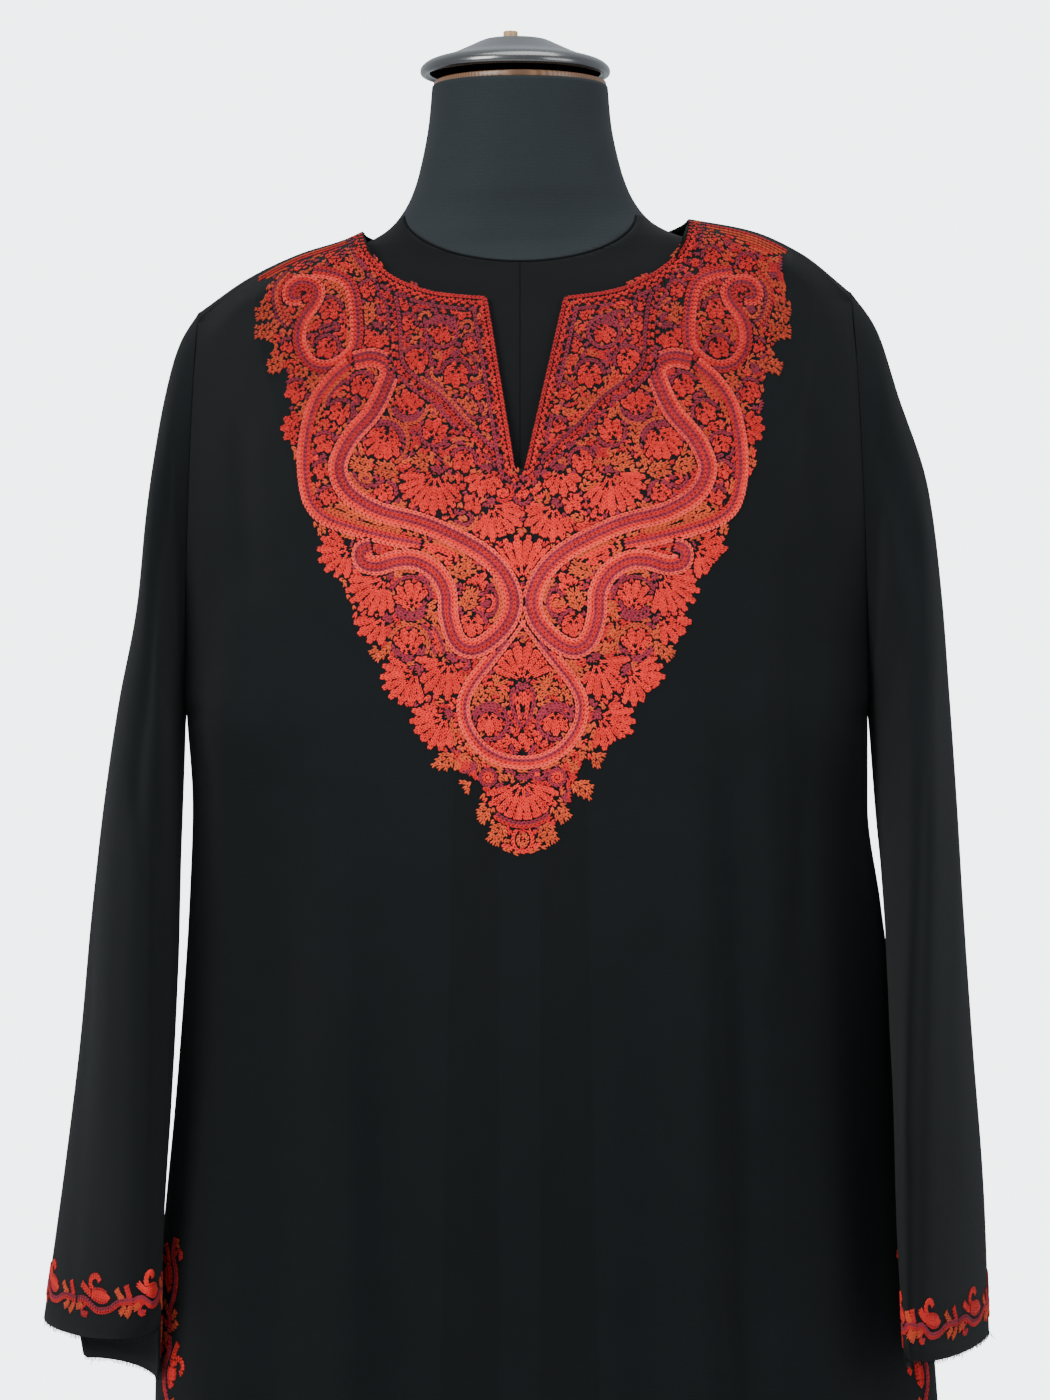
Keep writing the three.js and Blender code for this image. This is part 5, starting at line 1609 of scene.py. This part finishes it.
def add_floor():
    """A pale floor under the stand, too small to show in the photo's view."""
    outline = [(0.01, -20), (FLOOR_RADIUS, -20), (FLOOR_RADIUS, -0.5), (0.01, -0.5)]
    floor = turned_piece("floor", outline, 128)
    made, tree, shader = material("pale_floor", 0.75)
    speck = noise_at(tree, placed(tree), 60.0, 4.0)
    colour = colours_between(tree, speck, (0.74, 0.75, 0.76), (0.8, 0.81, 0.82))
    tree.links.new(colour, shader.inputs["Base Color"])
    floor.data.materials.append(made)


def add_world():
    """Soft light from all round, and a bright plain wall for the camera."""
    world = bpy.data.worlds.new("studio")
    bpy.context.scene.world = world
    world.use_nodes = True
    tree = world.node_tree
    soft = tree.nodes["Background"]
    soft.inputs["Color"].default_value = (0.86, 0.93, 1, 1)
    soft.inputs["Strength"].default_value = 0.55
    seen = add_node(tree, "ShaderNodeBackground", {"Color": (0.93, 0.97, 1.0, 1), "Strength": 4.8})
    path = add_node(tree, "ShaderNodeLightPath")
    pick_one = add_node(tree, "ShaderNodeMixShader", {0: path.outputs["Is Camera Ray"]})
    tree.links.new(soft.outputs[0], pick_one.inputs[1])
    tree.links.new(seen.outputs[0], pick_one.inputs[2])
    tree.links.new(pick_one.outputs[0], tree.nodes["World Output"].inputs["Surface"])


def finish_piece(piece, finish, slot, *nodes):
    """Gives a piece its finish and body, and hides the nodes that it stands in for. The slot is not used."""
    piece.data.materials.clear()
    piece.data.materials.append(finish)
    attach(piece, BODY)
    if nodes:
        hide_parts(*nodes)


def main():
    add_camera()
    add_floor()
    add_world()
    for lamp in LAMPS:
        add_lamp(*lamp)
    wool = cloth_finish("black_wool", (0.0027, 0.0036, 0.0042), (0.0064, 0.0082, 0.0094))
    front = front_piece()
    back = back_piece()
    sleeves = {side: sleeve_piece(side) for side in (-1, 1)}
    finish_piece(front, wool, "cloth", "front_panel")
    finish_piece(back, wool, "cloth", "back_panel")
    finish_piece(sleeves[-1], wool, "cloth", "sleeve_right")
    finish_piece(sleeves[1], wool, "cloth", "sleeve_left")
    dress_form()
    tree = stitch_tree()
    vines = vine_stitches()
    for yarn, made in yoke_stitches().items():
        finish = thread_finish(yarn + "_wool", *YARNS[yarn])
        right = made[0][:, 0] < 0
        for name, half in (("yoke_right_", right), ("yoke_left_", ~right)):
            piece = stitched_piece(name + yarn, tree, finish, [tuple(values[half] for values in made)])
            finish_piece(piece, finish, "stitching")
        if vines[yarn]:
            finish_piece(stitched_piece("vines_" + yarn, tree, finish, vines[yarn]), finish, "stitching")
    frayed = stitched_piece("cuff_threads", tree, wool, [cuff_threads(side) for side in (-1, 1)])
    finish_piece(frayed, wool, "cloth")


def dress_form():
    """The form, from its body up to the peg on its cap, and its stand."""
    finish_piece(torso_piece(), jersey_finish(), "jersey", "form_torso")
    dark = seam_finish()
    for seam in neck_seams():
        finish_piece(seam, dark, "jersey")
    varnished = wood_finish(
        "varnished_wood", 0.4, 240, (0.10, 0.045, 0.02), (0.30, 0.15, 0.075), 0.0001,
        coat_weight=0.3, coat_roughness=0.2,
    )
    finish_piece(plate_piece(), varnished, "plate_wood", "neck_plate")
    sawn = wood_finish("sawn_wood", 0.7, 420, (0.36, 0.21, 0.10), (0.66, 0.46, 0.26), 0.0003)
    finish_piece(peg_piece(), sawn, "peg_wood", "cap_peg")
    finish_piece(cap_piece(), lacquer_finish(), "cap_gloss", "neck_cap")
    coat = scuffed_finish(
        "black_powder_coat", 0.4, 0.36, 0.6, 260.0, (0.016, 0.017, 0.018), (0.034, 0.035, 0.037),
        0.0002, metallic=0.3,
    )[0]
    for piece, node in zip(stand_pieces(), ("form_pole", "form_base")):
        finish_piece(piece, coat, "stand_metal", node)


main()
